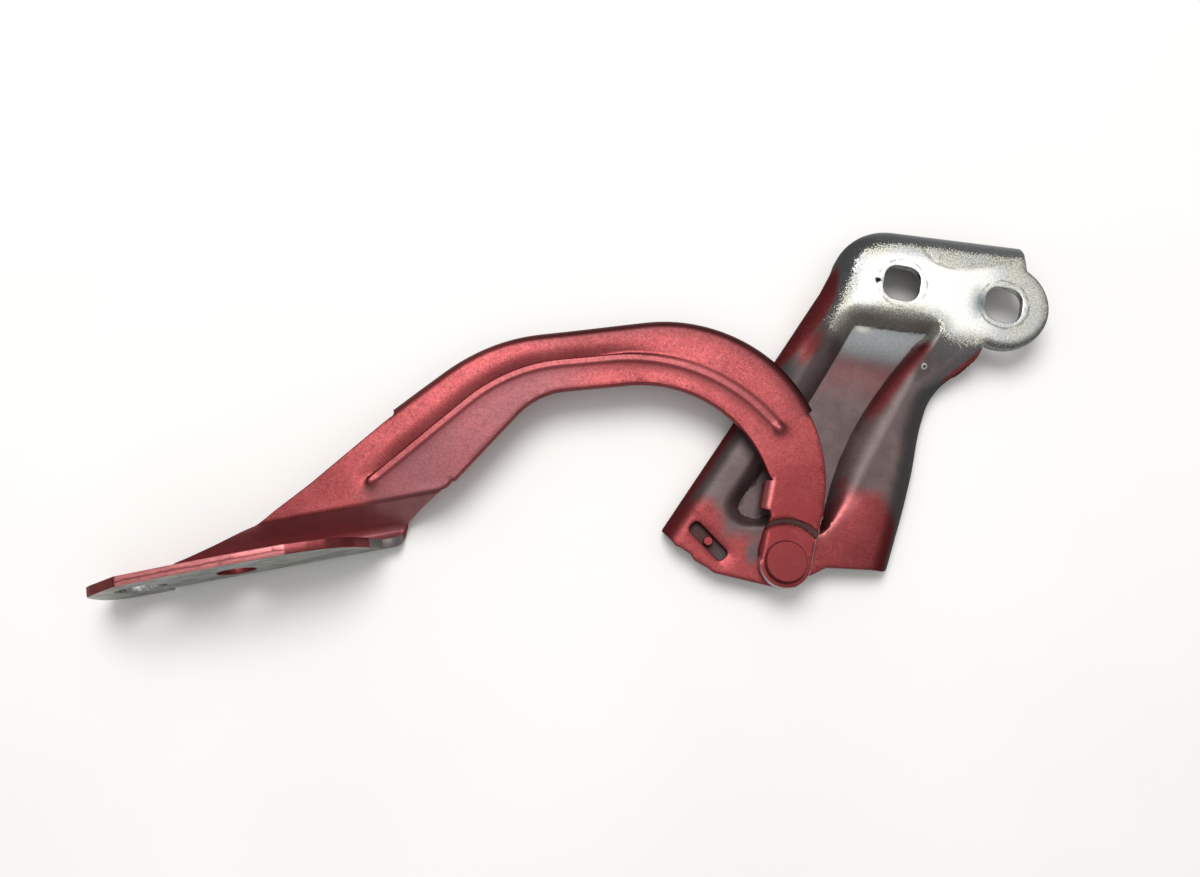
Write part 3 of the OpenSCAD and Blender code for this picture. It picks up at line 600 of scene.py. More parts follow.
def flange_edge(path, at, r, share=None):
    """Blank edge of a rolled flange at the places `at` along its bend line."""
    cum = np.concatenate([[0], np.cumsum(np.linalg.norm(np.diff(path, axis=0), axis=1))])
    p = np.stack([np.interp(at, cum, path[:, 0]), np.interp(at, cum, path[:, 1])], 1)
    q = np.stack([np.interp(at + 0.5, cum, path[:, 0]), np.interp(at + 0.5, cum, path[:, 1])], 1) - np.stack([np.interp(at - 0.5, cum, path[:, 0]), np.interp(at - 0.5, cum, path[:, 1])], 1)
    nv = np.stack([-q[:, 1], q[:, 0]], 1) / np.linalg.norm(q, axis=1)[:, None]
    s = s_end(p, r, 1.0 if share is None else share)
    return p, nv, s


at = np.arange(6.5, LEN_L - 5.0, 1.0)
p, nv, s = flange_edge(BEND_L, at, np.full(len(at), ROLL))
edge_l = [tuple(v) for v in p + nv * s[:, None]]
e0 = flange_edge(BEND_L, np.array([3.4, 4.4, 5.4]), np.full(3, ROLL))
corner_l = [tuple(e0[0][0] + e0[1][0] * 0.5), tuple(e0[0][1] + e0[1][1] * 4.8), tuple(e0[0][2] + e0[1][2] * 10.4)]
e1 = flange_edge(BEND_L, np.array([LEN_L - 3.2, LEN_L - 2.2, LEN_L - 1.2]), np.full(3, ROLL))
corner_t = [tuple(e1[0][0] + e1[1][0] * (e1[2][0] - 1.2)), tuple(e1[0][1] + e1[1][1] * 9.5), tuple(e1[0][2] + e1[1][2] * 1.2)]
end_r = bend_r_len[-1]
at = np.arange(0.6, end_r - 5.5, 1.0)
p, nv, s = flange_edge(BEND_R, at, np.full(len(at), ROLL))
r_at, t_at = np.interp(at, bend_r_len, bend_r_roll), turn_r(at)
reach = np.minimum((r_at + 0.8 - r_at * np.sin(t_at)) / np.maximum(np.cos(t_at), 0.02), (z_top(p) - LOW - r_at * (1 - np.cos(t_at))) / np.maximum(np.sin(t_at), 0.02))
s = r_at * t_at + np.maximum(reach, 0)
edge_r = [tuple(v) for v in p + nv * s[:, None]]
e2 = flange_edge(BEND_R, np.array([end_r - 4.4, end_r - 2.6, end_r - 1.6]), np.full(3, ROLL))
corner_r = [tuple(e2[0][0] + e2[1][0] * 11.0), tuple(e2[0][1] + e2[1][1] * 6.5), tuple(e2[0][2] + e2[1][2] * 0.6)]
bottom = [(-15, -104.4), (-26, -106.4), (-30.6, -110.2)] + arc(P0, 8.6, -24, -100, 10) + [(-63.5, -116.8), (-66.2, -115.6), (-71, -114.2), (-72.6, -112.4), (-76.4, -110.9)]
br_outline = corner_l + edge_l + corner_t + arc((18.5, 0), 16.4, 66, -105, 40) + edge_r + corner_r + bottom


def rounded_rect(cx, cy, w, h, r, turn=0.0):
    pts = fillet([(-w / 2, -h / 2), (w / 2, -h / 2), (w / 2, h / 2), (-w / 2, h / 2)], r)
    c, s = math.cos(math.radians(turn)), math.sin(math.radians(turn))
    return np.stack([cx + pts[:, 0] * c - pts[:, 1] * s, cy + pts[:, 0] * s + pts[:, 1] * c], 1)


br_holes = [rounded_rect(-18.5, 0, 13, 13, 4.7), rounded_rect(18.5, 0, 13, 13, 4.7), rounded_rect(-67.8, -106.6, 16, 4.6, 1.5, -34), np.array(arc(P0, 3.85, 0, 351, 39))]
br_rows = (
    row_set(BEND_L, (-2.6, -1.2, 0, 1.1, 2.2, 3.3, 4.4, 5.5, 6.6, 7.7, 8.8, 9.9, 11.0, 12.2, 14.0), 1.4)
    + row_set(BEND_R, (-2.0, -0.8, 0.2, 1.1, 2.2, 3.3, 4.4, 5.5, 6.6, 7.7, 8.8, 9.9, 11.0, 12.2, 14.0), 1.4)
    + row_set(np.concatenate([RIM, RIM[:1]]), (3.6, 2.4, 1.3, 0.4, -0.5, -1.4, -2.3, -3.2, -4.1, -5.0, -5.9), 1.3)
    + row_set(np.concatenate([FLOOR, FLOOR[:1]]), (2.3, 1.5, 0.9, 0.4, 0.0, -0.5, -1.4), 1.2)
    + row_set(PAD_LINE, (1.6, 0.9, 0.4, 0, -0.4, -0.9, -1.6), 0.9)
    + [np.array(arc((-4.7, -27.7), r, 0, 330, 11)) for r in (0.5, 1.0, 1.6)]
    + [np.array(arc((18.5, 0), r, -130, 70, 60)) for r in (12.9, 13.7, 14.4, 15.0, 15.5)]
)
ZINC = [(-36.6, 4.6), (-34.0, 9.4), (-28.4, 12.6), (-21.9, 14.6), (-7.2, 16.0), (7.4, 17.2), (18.3, 18.4), (27, 20), (38, 12), (38, -14), (26, -19), (15.3, -17.6), (9.1, -16.8), (2.7, -17.4), (-0.8, -15.6), (-2.6, -12.0), (-5, -11.0), (-14, -10.6), (-24.6, -11.6), (-33, -13.2), (-36.4, -18.0), (-39.2, -21.5), (-40.6, -20.5), (-38.4, -11.2), (-36.8, -3.0)]
ZINC = np.array(ZINC)


def signed(P, poly):
    poly = np.asarray(poly, float)
    return np.where(inside(P, [poly]), 1.0, -1.0) * nearest(P, poly, True)[0]


def bracket_masks(D, pos, kind):
    X, Y, Z = pos[:, 0], pos[:, 1], pos[:, 2]
    Q = pos[:, :2]
    top = kind < 1.5
    # how far down the rolled edges
    dl = nearest(D, BEND_L)
    dr = nearest(D, BEND_R)
    roll_l = np.where((dl[3] > 0) & (dl[4] == 0), dl[0], 0.0)
    roll_rt = np.where((dr[3] > 0) & (dr[4] == 0) & (dr[0] < 20), dr[0], 0.0)
    side_l = np.where((dl[4] == 0) & (dl[0] < 20), dl[3] * dl[0], -9.0)
    side_r = np.where((dr[4] == 0) & (dr[0] < 20), dr[3] * dr[0], -9.0) - 6 * smooth(-38, -26, Y)
    zinc = smooth(-4.6, 4.2, signed(Q, ZINC)) * smooth(4.4, 0.2, roll_l) * smooth(5.0, 1.0, roll_rt)
    # red: the pivot end, the left-hand roll, the right-hand ridge's inner slope, soft patches elsewhere
    paint = smooth(-9, 6, signed(Q, [(-95, -97), (-77, -95), (-71, -93.5), (-66, -97), (-63.5, -104.5), (-56, -103.0), (-50, -103.5), (-45, -97), (-35, -97), (-27.5, -88), (-24, -80), (-14, -78.0), (-4, -88), (-4, -125), (-95, -125)]))
    paint = paint * smooth(9.5, 4.0, roll_rt)
    start = 6.0 - 6.5 * smooth(10, -16, Y) + 2.0 * smooth(-28, -42, Y)
    paint = np.maximum(paint, smooth(0, 1, (roll_l - start) / (3.2 + 4.0 * smooth(-26, -42, Y))) * smooth(9, -4, Y) * 0.85)
    blob = hump(np.hypot(((X + 46.0) * 0.37 + (Y + 29.5) * 0.93) / 2.1, ((X + 46.0) * 0.93 - (Y + 29.5) * 0.37) / 1.0), 4.0)
    paint = np.maximum(paint, 0.80 * blob)
    deep = signed(Q, FLOOR)
    on_floor = smooth(-0.3, 0.4, deep)
    floor_red = smooth(-19.5, -32.0, Y) * smooth(-62, -32, Y) * on_floor
    paint = np.maximum(paint, 0.42 * floor_red)
    ridge = nearest(Q, np.array([(-6.4, -21.2), (-10.1, -28.1), (-13.2, -34.1), (-16.4, -41.2), (-19.5, -48.8), (-22.4, -57.2), (-25.5, -76)]))[0]
    paint = np.maximum(paint, 0.84 * hump(ridge, 3.2) * np.maximum(smooth(-60, -42, Y), 0.8 * smooth(-66, -80, Y)))
    paint = np.maximum(paint, 0.85 * smooth(2.5, 6.0, roll_rt) * smooth(-36, -27, Y))
    paint = np.maximum(paint, 0.22 * smooth(-30, -45, Y))
    paint = paint * (1 - 0.9 * hump(np.hypot((X + 52.0), (Y + 107.5) / 1.8), 2.6))
    blue = smooth(-30, -12, Y) * (1 - zinc)
    floor_top = smooth(-31, -22, Y) * on_floor
    grey = np.maximum(np.maximum(blue, floor_top), smooth(1.0, 5.0, roll_rt))
    pale = smooth(-31.0, -20, Y) * on_floor
    in_rim = inside(Q, [RIM])
    # painted light: the recess's top wall is lightened
    wall = np.where(in_rim & (deep < 0), 1.0, 0.0) * smooth(-26, -19, Y)
    # painted highlight: a cream patch at the recess floor's top-left corner
    cream = on_floor * hump(np.hypot((X + 28.3) / 2.6, Y + 16.9), 1.1)
    # painted shade: darker beside the recess floor's edge, on the wall side
    crease = np.where(deep < 0.2, hump(deep, 2.6), 0.0) * smooth(-14, -22, Y) * np.where(X > -34 - 0.3 * (Y + 20), 1.0, 0.4)
    pad = nearest(Q, PAD_LINE)
    # painted reflection: the zinc pad's middle is made near white, less so to the right and on one side of the press
    # line
    core = smooth(0.5, 7.0, signed(Q, ZINC)) * (1 - 0.7 * smooth(9, 20, X)) * (1 - 0.85 * np.where(pad[3] > 0, smooth(-1.2, 1.2, pad[0]), smooth(1.2, -1.2, pad[0])))
    line = hump(pad[0], 0.5) * smooth(15.5, 11.0, pad[2])
    # painted shade in the dish beside the right-hand hole
    crescent = hump(np.hypot((X - 10.8) / 1.15, (Y + 0.8) / 2.2), 2.0)
    ea = np.degrees(np.arctan2(Y, X - 18.5))
    wide = 1.1 + 1.9 * smooth(10, -50, ea)
    # painted shade: the ear's drawn-down cut edge is darkened, wider on its lower side
    ear = smooth(1.0, 0.25, (16.4 - np.hypot(X - 18.5, Y)) / wide) * smooth(-112, -100, ea) * smooth(78, 62, ea)
    face = np.where(kind < 0.5, 1.0, 0.0)
    # darker along the recess rim, most on its inner side
    dirt = np.exp(-((np.abs(nearest(Q, RIM, True)[0]) / 2.2) ** 2)) * np.where(inside(Q, [RIM]), 1.0, 0.35)
    return {"zinc": np.where(top, zinc, 0.0), "paint": np.where(top, paint, 0.25), "grey": np.where(top, grey, 0.5), "rim": np.where(kind == 1.0, 1.0, 0.0), "dirt": np.where(kind < 0.5, dirt * smooth(-14, -24, Y), 0.3), "pale": np.where(kind < 0.5, pale, 0.0), "core": core * face, "wall": wall * face, "cream": cream * face, "crease": crease * face, "line": line * face, "crescent": crescent * face, "face": face, "ear": np.where(top, ear, 0.0), "streak": np.where(kind < 0.5, hump(nearest(Q, np.array([(-29.6, -95.5), (-25.0, -87.5), (-20.8, -81.5)]))[0], 2.3), 0.0), "dusk": np.where(top, np.maximum(smooth(0, 1, (side_l + 0.8 + 3.6 * smooth(-72, -56, Y)) / (5.8 + 0.6 * smooth(-72, -56, Y))) * smooth(22, 12, Y) * (1 - 0.75 * blob), smooth(-2.2, 3.8, side_r)), 0.3), "under": np.where(kind > 1.5, 1.0, 0.0)}


# ------------------------------------------------------------------ materials
class Mat:
    def __init__(self, name):
        self.m = bpy.data.materials.new(name)
        self.m.use_nodes = True
        self.t = self.m.node_tree
        self.t.nodes.clear()
        self.out = self.n("ShaderNodeOutputMaterial")
        self.b = self.n("ShaderNodeBsdfPrincipled")
        self.link(self.b.outputs[0], self.out.inputs[0])
        self.co = self.n("ShaderNodeTexCoord").outputs["Object"]

    def n(self, kind, **kw):
        node = self.t.nodes.new(kind)
        for k, v in kw.items():
            setattr(node, k, v)
        return node

    def link(self, a, b):
        self.t.links.new(a, b)

    def put(self, socket, v):
        if isinstance(v, bpy.types.NodeSocket):
            self.link(v, socket)
        elif isinstance(v, (tuple, list)):
            socket.default_value = (*v, 1.0) if len(v) == 3 and len(socket.default_value) == 4 else v
        else:
            socket.default_value = v

    def attr(self, name):
        return self.n("ShaderNodeAttribute", attribute_name=name).outputs["Fac"]

    def noise(self, scale, detail=3.0, rough=0.55, co=None, warp=0.0):
        nd = self.n("ShaderNodeTexNoise")
        self.link(co or self.co, nd.inputs["Vector"])
        nd.inputs["Scale"].default_value = scale
        nd.inputs["Detail"].default_value = detail
        nd.inputs["Roughness"].default_value = rough
        nd.inputs["Distortion"].default_value = warp
        return nd.outputs["Fac"]

    def stretch(self, scale, turn=(0, 0, 0)):
        mp = self.n("ShaderNodeMapping")
        self.link(self.co, mp.inputs["Vector"])
        mp.inputs["Scale"].default_value = scale
        mp.inputs["Rotation"].default_value = turn
        return mp.outputs[0]

    def math(self, op, a, b=0.0, clamp=False):
        nd = self.n("ShaderNodeMath", operation=op, use_clamp=clamp)
        self.put(nd.inputs[0], a)
        self.put(nd.inputs[1], b)
        return nd.outputs[0]

    def span(self, v, a, b, c=0.0, d=1.0):
        nd = self.n("ShaderNodeMapRange", interpolation_type="SMOOTHSTEP")
        self.put(nd.inputs[0], v)
        for i, x in enumerate((a, b, c, d)):
            nd.inputs[i + 1].default_value = x
        return nd.outputs[0]

    def mix(self, fac, a, b):
        nd = self.n("ShaderNodeMix", data_type="RGBA")
        self.put(nd.inputs["Factor"], fac)
        self.put(nd.inputs[6], a)
        self.put(nd.inputs[7], b)
        return nd.outputs[2]

    def lerp(self, fac, a, b):
        nd = self.n("ShaderNodeMix", data_type="FLOAT")
        self.put(nd.inputs["Factor"], fac)
        self.put(nd.inputs[2], a)
        self.put(nd.inputs[3], b)
        return nd.outputs[0]

    def bump(self, h, dist, strength=1.0, normal=None):
        nd = self.n("ShaderNodeBump")
        self.link(h, nd.inputs["Height"])
        nd.inputs["Distance"].default_value = dist
        nd.inputs["Strength"].default_value = strength
        if normal:
            self.link(normal, nd.inputs["Normal"])
        return nd.outputs[0]

    def radius(self, x, y):
        """Distance from an upright axis at x, y, in metres."""
        mp = self.n("ShaderNodeMapping")
        self.link(self.co, mp.inputs["Vector"])
        mp.inputs["Location"].default_value = (-x, -y, 0)
        mp.inputs["Scale"].default_value = (1, 1, 0)
        vm = self.n("ShaderNodeVectorMath", operation="LENGTH")
        self.link(mp.outputs[0], vm.inputs[0])
        return vm.outputs["Value"]

    def line(self, v, at, half):
        """1 where v is at a value, 0 from half away."""
        return self.span(self.math("ABSOLUTE", self.math("SUBTRACT", v, at)), half * 0.4, half, 1.0, 0.0)

    def set(self, **kw):
        for k, v in kw.items():
            self.put(self.b.inputs[k.replace("_", " ")], v)


def red(m, tone=1.0):
    """Metallic red: fine flake, cloudy overspray. Returns colour, roughness and bump height."""
    flake = m.noise(3800, 1.5, 0.6)
    cloud = m.noise(45, 4.0, 0.6)
    mid = m.noise(300, 4.0, 0.65)
    mist = m.noise(900, 3.0, 0.65)
    c = m.mix(m.span(cloud, 0.32, 0.68), tuple(v * tone for v in (0.215, 0.025, 0.029)), tuple(v * tone for v in (0.290, 0.044, 0.048)))
    c = m.mix(m.span(mid, 0.45, 0.75, 0.0, 0.35), c, tuple(v * tone for v in (0.36, 0.075, 0.080)))
    c = m.mix(m.span(flake, 0.48, 0.74, 0.0, 0.60), c, tuple(v * tone for v in (0.50, 0.155, 0.160)))
    c = m.mix(m.span(mist, 0.48, 0.80, 0.0, 0.60), c, tuple(v * tone for v in (0.130, 0.014, 0.017)))
    rough = m.span(mist, 0.3, 0.8, 0.34, 0.46)
    h = m.math("ADD", m.math("MULTIPLY", flake, 0.4), m.math("MULTIPLY", mist, 0.6))
    return c, rough, h


def zinc(m):
    """Bare zinc: fine crystalline speckle with grey stains and faint straw and blue tints."""
    grain = m.noise(1700, 3.0, 0.75)
    blot = m.noise(260, 5.0, 0.7, warp=0.6)
    wide = m.noise(45, 3.0, 0.55)
    tint = m.noise(70, 2.0, 0.5)
    c = m.mix(m.span(tint, 0.42, 0.66), (0.62, 0.61, 0.53), (0.565, 0.59, 0.605))
    c = m.mix(m.span(grain, 0.40, 0.62), m.mix(0.72, c, (0.13, 0.13, 0.118)), c)
    c = m.mix(m.span(blot, 0.54, 0.74, 0.0, 0.8), c, (0.17, 0.17, 0.155))
    c = m.mix(m.span(wide, 0.50, 0.74, 0.0, 0.4), c, (0.34, 0.36, 0.37))
    rough = m.span(grain, 0.3, 0.7, 0.28, 0.50)
    return c, rough, grain


def paint_arm():
    m = Mat("arm_red")
    c, rough, h = red(m, 0.84)
    zc, zr, zh = zinc(m)
    specks = m.noise(1500, 2.0, 0.4)
    stain = m.noise(120, 5.0, 0.7, warp=1.2)
    c = m.mix(m.span(stain, 0.58, 0.76, 0.0, 0.6), c, (0.10, 0.018, 0.019))
    c = m.mix(m.span(specks, 0.69, 0.77, 0.0, 0.85), c, (0.04, 0.010, 0.010))
    # painted shade: the arch's inner flat, inside the bead, is made a duller, darker rose
    c = m.mix(m.math("MULTIPLY", m.attr("rose"), m.span(m.noise(60), 0.3, 0.7, 0.72, 0.92)), c, (0.125, 0.041, 0.048))
    # painted shade: towards the pivot the red is made darker and more saturated
    c = m.mix(m.math("MULTIPLY", m.attr("near"), m.span(m.noise(80), 0.3, 0.7, 0.45, 0.75)), c, (0.185, 0.017, 0.020))
    # painted shade: the rolled outer lip is darkened to a deep red
    c = m.mix(m.math("MULTIPLY", m.attr("lip"), 0.92), c, (0.046, 0.0085, 0.0098))
    # painted shade: a dark soft band beside the bead's inner side, along its right part
    c = m.mix(m.math("MULTIPLY", m.attr("foot"), 0.72), c, (0.085, 0.013, 0.015))
    # painted highlight: the stop tab's face is made a lighter pink
    c = m.mix(m.math("MULTIPLY", m.attr("tab"), 0.55), c, (0.42, 0.125, 0.13))
    # painted shade darkens the flange's cut edges; its long edge gets a painted highlight in bright pink, with a torn
    # line along its middle
    c = m.mix(m.math("MULTIPLY", m.attr("edge"), 0.55), c, (0.095, 0.014, 0.016))
    run = m.n("ShaderNodeCombineXYZ")
    m.link(m.math("MULTIPLY", m.attr("su"), 0.22), run.inputs[0])
    m.link(m.math("MULTIPLY", m.attr("sd"), 7.0), run.inputs[1])
    scar = m.noise(1.0, 4.0, 0.65, co=run.outputs[0])
    # painted highlight: the flange plate's long edge strip is made bright pink
    c = m.mix(m.math("MULTIPLY", m.attr("strip"), m.span(scar, 0.3, 0.6, 0.55, 1.0)), c, (0.64, 0.215, 0.225))
    torn = m.line(m.math("ADD", m.attr("sd"), m.math("MULTIPLY", m.math("SUBTRACT", m.noise(420, 3.0, 0.7), 0.5), 0.35)), 0.52, 0.13)
    c = m.mix(m.math("MULTIPLY", m.math("MULTIPLY", torn, m.attr("strip")), 0.75), c, (0.20, 0.036, 0.040))
    shade = m.math("MULTIPLY", m.attr("shade"), 0.9)
    c = m.mix(shade, c, m.mix(m.span(stain, 0.35, 0.7), m.mix(m.span(m.attr("su"), -6.0, 26.0), (0.345, 0.106, 0.116), (0.160, 0.046, 0.050)), m.mix(m.span(m.attr("su"), -6.0, 26.0), (0.405, 0.130, 0.140), (0.205, 0.062, 0.068))))
    # painted highlight on the bead crest, which is made a paler pink, and chipped cut edges
    c = m.mix(m.math("MULTIPLY", m.attr("crest"), m.span(stain, 0.30, 0.60, 0.35, 0.60)), c, (0.175, 0.047, 0.052))
    chip = m.math("MULTIPLY", m.attr("rim"), m.span(m.noise(420, 4.0, 0.7), 0.60, 0.70), True)
    c = m.mix(chip, c, (0.07, 0.04, 0.04))
    turn = m.math("ADD", m.radius(P0[0] * MM, P0[1] * MM), m.math("MULTIPLY", m.math("SUBTRACT", m.noise(700, 3.0), 0.5), 0.0008))
    pr = m.math("MULTIPLY", m.line(turn, 0.01375, 0.0008), m.attr("primer"))
    c = m.mix(m.math("MULTIPLY", pr, 0.85), c, (0.20, 0.145, 0.138))
    worn = m.span(m.math("ADD", m.attr("worn"), m.math("MULTIPLY", m.math("SUBTRACT", m.noise(500, 4.0), 0.5), 0.9)), 0.4, 0.65)
    c = m.mix(worn, c, (0.115, 0.115, 0.108))
    cut = m.math("MULTIPLY", m.attr("cut"), m.span(m.noise(240, 4.0, 0.7), 0.30, 0.52), True)
    c = m.mix(cut, c, (0.42, 0.38, 0.37))
    zf = m.span(m.math("ADD", m.attr("zinc"), m.math("MULTIPLY", m.math("SUBTRACT", m.noise(600, 4.0), 0.5), 0.8)), 0.40, 0.62)
    smear = m.noise(1, 5.0, 0.65, co=m.stretch((45, 260, 260), (0, 0, math.radians(23.5))))
    zc = m.mix(m.span(smear, 0.40, 0.66, 0.30, 0.90), zc, (0.105, 0.117, 0.102))
    c = m.mix(zf, c, zc)
    bare = m.math("MAXIMUM", zf, cut)
    rough = m.lerp(zf, m.lerp(pr, rough, 0.58), zr)
    m.set(Base_Color=c, Roughness=rough, Metallic=m.lerp(bare, m.lerp(m.math("MAXIMUM", m.math("MAXIMUM", pr, worn), shade), 0.88, 0.2), 0.92), Specular_Tint=m.mix(bare, (0.50, 0.12, 0.13), (1.0, 1.0, 1.0)), Coat_Weight=m.lerp(bare, 0.30, 0.0), Coat_Roughness=0.32)
    m.link(m.bump(m.lerp(zf, h, zh), 0.00012, 0.4), m.b.inputs["Normal"])
    return m.m


def paint_bracket():
    m = Mat("bracket_red_and_primer")
    c, rough, h = red(m, 0.84)
    zc, zr, zh = zinc(m)
    fine = m.noise(1900, 3.0, 0.6)
    grain = m.noise(1700, 3.0, 0.75)
    soft = m.noise(140, 4.0, 0.6)
    prim = m.mix(m.span(soft, 0.3, 0.7), (0.072, 0.051, 0.053), (0.106, 0.078, 0.079))
    prim = m.mix(m.span(fine, 0.5, 0.75, 0.0, 0.4), prim, (0.160, 0.126, 0.124))
    prim = m.mix(m.math("MULTIPLY", m.attr("grey"), 0.95, True), prim, m.mix(m.span(fine, 0.4, 0.7), (0.085, 0.098, 0.104), (0.150, 0.165, 0.172)))
    prim = m.mix(m.math("MULTIPLY", m.attr("pale"), m.span(fine, 0.3, 0.7, 0.65, 1.0)), prim, (0.275, 0.290, 0.300))
    # painted light: the recess's top wall is lightened to a grey-beige
    prim = m.mix(m.math("MULTIPLY", m.attr("wall"), m.span(fine, 0.3, 0.7, 0.45, 0.95)), prim, (0.33, 0.305, 0.27))
    pf = m.span(m.math("ADD", m.attr("paint"), m.math("MULTIPLY", m.math("SUBTRACT", fine, 0.5), 0.55)), 0.12, 0.88)
    c = m.mix(pf, prim, c)
    # darker along the recess rim, with soft noise
    c = m.mix(m.math("MULTIPLY", m.attr("dirt"), m.span(soft, 0.3, 0.7, 0.15, 0.55)), c, (0.028, 0.020, 0.020))
    # painted shade: darker beside the recess floor's edge, on the wall side
    c = m.mix(m.math("MULTIPLY", m.attr("crease"), 0.62), c, (0.036, 0.0105, 0.0115))
    # painted highlight: a cream patch at the recess floor's top-left corner
    c = m.mix(m.math("MULTIPLY", m.attr("cream"), 0.75), c, (0.66, 0.64, 0.57))
    # painted shade: the rolled flanges are darkened, dark grey where primed and dark red where painted
    c = m.mix(m.math("MULTIPLY", m.attr("dusk"), 0.76), c, m.mix(pf, (0.034, 0.036, 0.035), (0.068, 0.011, 0.013)))
    pip = m.radius(-0.0048, -0.0278)
    c = m.mix(m.math("MULTIPLY", m.line(pip, 0.0008, 0.0004), m.attr("face")), c, (0.36, 0.36, 0.34))
    c = m.mix(m.math("MULTIPLY", m.line(pip, 0.0, 0.0006), m.attr("face")), c, (0.03, 0.03, 0.03))
    specks = m.noise(1300, 2.0, 0.4)
    c = m.mix(m.span(specks, 0.74, 0.80, 0.0, 0.75), c, (0.04, 0.02, 0.02))
    zf = m.span(m.math("ADD", m.attr("zinc"), m.math("ADD", m.math("MULTIPLY", m.math("SUBTRACT", m.noise(1700, 3.0, 0.75), 0.5), 2.1), m.math("MULTIPLY", m.math("SUBTRACT", soft, 0.5), 0.5))), 0.42, 0.58)
    # painted reflection: the zinc pad's middle is made near white
    zc = m.mix(m.math("MULTIPLY", m.attr("core"), m.span(grain, 0.34, 0.48, 0.55, 0.95)), zc, m.mix(m.span(soft, 0.4, 0.66), (0.90, 0.895, 0.83), (0.84, 0.86, 0.87)))
    # marks of the bolt washers, painted shade in the dish beside the right-hand hole, a scratch and a few black specks
    wob = m.math("MULTIPLY", m.math("SUBTRACT", m.noise(330, 3.0), 0.5), 0.0014)
    broken = m.math("MULTIPLY", m.span(m.noise(210, 3.0), 0.42, 0.56), m.attr("face"))
    for x in (-0.0185, 0.0185):
        mark = m.line(m.math("ADD", m.radius(x, 0.0), wob), 0.0090, 0.00055)
        zc = m.mix(m.math("MULTIPLY", m.math("MULTIPLY", mark, broken), 0.65), zc, (0.15, 0.16, 0.165))
    # painted shade in the dish beside the right-hand hole, dark grey to blue
    zc = m.mix(m.math("MULTIPLY", m.attr("crescent"), m.span(grain, 0.3, 0.7, 0.75, 1.0)), zc, m.mix(m.span(m.radius(0.0185, 0.0), 0.0068, 0.0100), (0.070, 0.076, 0.080), (0.20, 0.28, 0.38)))
    zc = m.mix(m.math("MULTIPLY", m.attr("line"), m.span(m.noise(500), 0.35, 0.55, 0.2, 0.8)), zc, (0.17, 0.17, 0.155))
    black = m.line(m.math("ADD", m.radius(-0.0273, -0.0008), m.math("MULTIPLY", m.math("SUBTRACT", m.noise(900, 3.0), 0.5), 0.004)), 0.0, 0.0016)
    zc = m.mix(m.math("MULTIPLY", black, m.attr("face")), zc, (0.012, 0.012, 0.011))
    # painted highlight: a pale pink streak along the recess's lower right ridge
    c = m.mix(m.math("MULTIPLY", m.attr("streak"), 0.45), c, (0.50, 0.155, 0.16))
    # painted shade: the ear's drawn-down cut edge is darkened
    zc = m.mix(m.math("MULTIPLY", m.attr("ear"), m.span(grain, 0.3, 0.7, 0.95, 0.55)), zc, (0.085, 0.086, 0.080))
    c = m.mix(zf, c, zc)
    chip = m.math("MULTIPLY", m.attr("rim"), m.span(m.noise(380, 4.0, 0.7), 0.56, 0.68), True)
    c = m.mix(chip, c, (0.07, 0.066, 0.063))
    # the rolled flanges' painted shade also raises roughness, greys the specular tint and drops the coat
    rough = m.lerp(zf, m.lerp(m.attr("dusk"), m.lerp(pf, 0.46, rough), 0.70), zr)
    tint = m.mix(m.math("MULTIPLY", pf, m.math("SUBTRACT", 1.0, zf)), (1.0, 1.0, 1.0), (0.50, 0.12, 0.13))
    tint = m.mix(m.math("MULTIPLY", m.attr("dusk"), 0.85), tint, (0.20, 0.17, 0.17))
    m.set(Base_Color=c, Roughness=rough, Metallic=m.lerp(zf, m.lerp(pf, 0.45, 0.85), 0.92), Specular_Tint=tint, Coat_Weight=m.lerp(m.math("MAXIMUM", zf, m.attr("dusk")), 0.22, 0.0), Coat_Roughness=0.34)
    m.link(m.bump(m.lerp(zf, h, zh), 0.00014, 0.45), m.b.inputs["Normal"])
    return m.m


def paint_small(name, tone, steel_below=None):
    """Red on the seen part; bare steel below the height steel_below, in metres."""
    m = Mat(name)
    c, rough, h = red(m, tone)
    c = m.mix(m.span(m.noise(90, 3.0), 0.3, 0.7, 0.60, 0.85), c, (0.190, 0.017, 0.020))
    c = m.mix(m.span(m.noise(800, 3.0), 0.66, 0.78, 0.0, 0.6), c, (0.09, 0.014, 0.017))
    metal = 0.78
    if steel_below is not None:
        sep = m.n("ShaderNodeSeparateXYZ")
        m.link(m.co, sep.inputs[0])
        f = m.span(sep.outputs[2], steel_below, steel_below + 0.0004)
        c = m.mix(f, m.mix(m.span(m.noise(1500, 4.0, 0.7), 0.35, 0.7), (0.24, 0.23, 0.22), (0.46, 0.45, 0.43)), c)
        metal = m.lerp(f, 0.9, 0.78)
    m.set(Base_Color=c, Roughness=rough, Metallic=metal, Coat_Weight=0.2, Coat_Roughness=0.32)
    m.link(m.bump(h, 0.0001, 0.4), m.b.inputs["Normal"])
    return m.m


def metal_plain(name, dark, light, rough, scale=1400):
    m = Mat(name)
    g = m.noise(scale, 4.0, 0.65)
    s = m.noise(scale * 0.12, 3.0, 0.6, warp=0.8)
    c = m.mix(m.span(g, 0.3, 0.7), dark, light)
    c = m.mix(m.span(s, 0.5, 0.75, 0.0, 0.5), c, tuple(v * 0.5 for v in dark))
    m.set(Base_Color=c, Roughness=m.span(g, 0.3, 0.7, rough - 0.08, rough + 0.1), Metallic=0.9)
    m.link(m.bump(g, 0.00008, 0.4), m.b.inputs["Normal"])
    return m.m


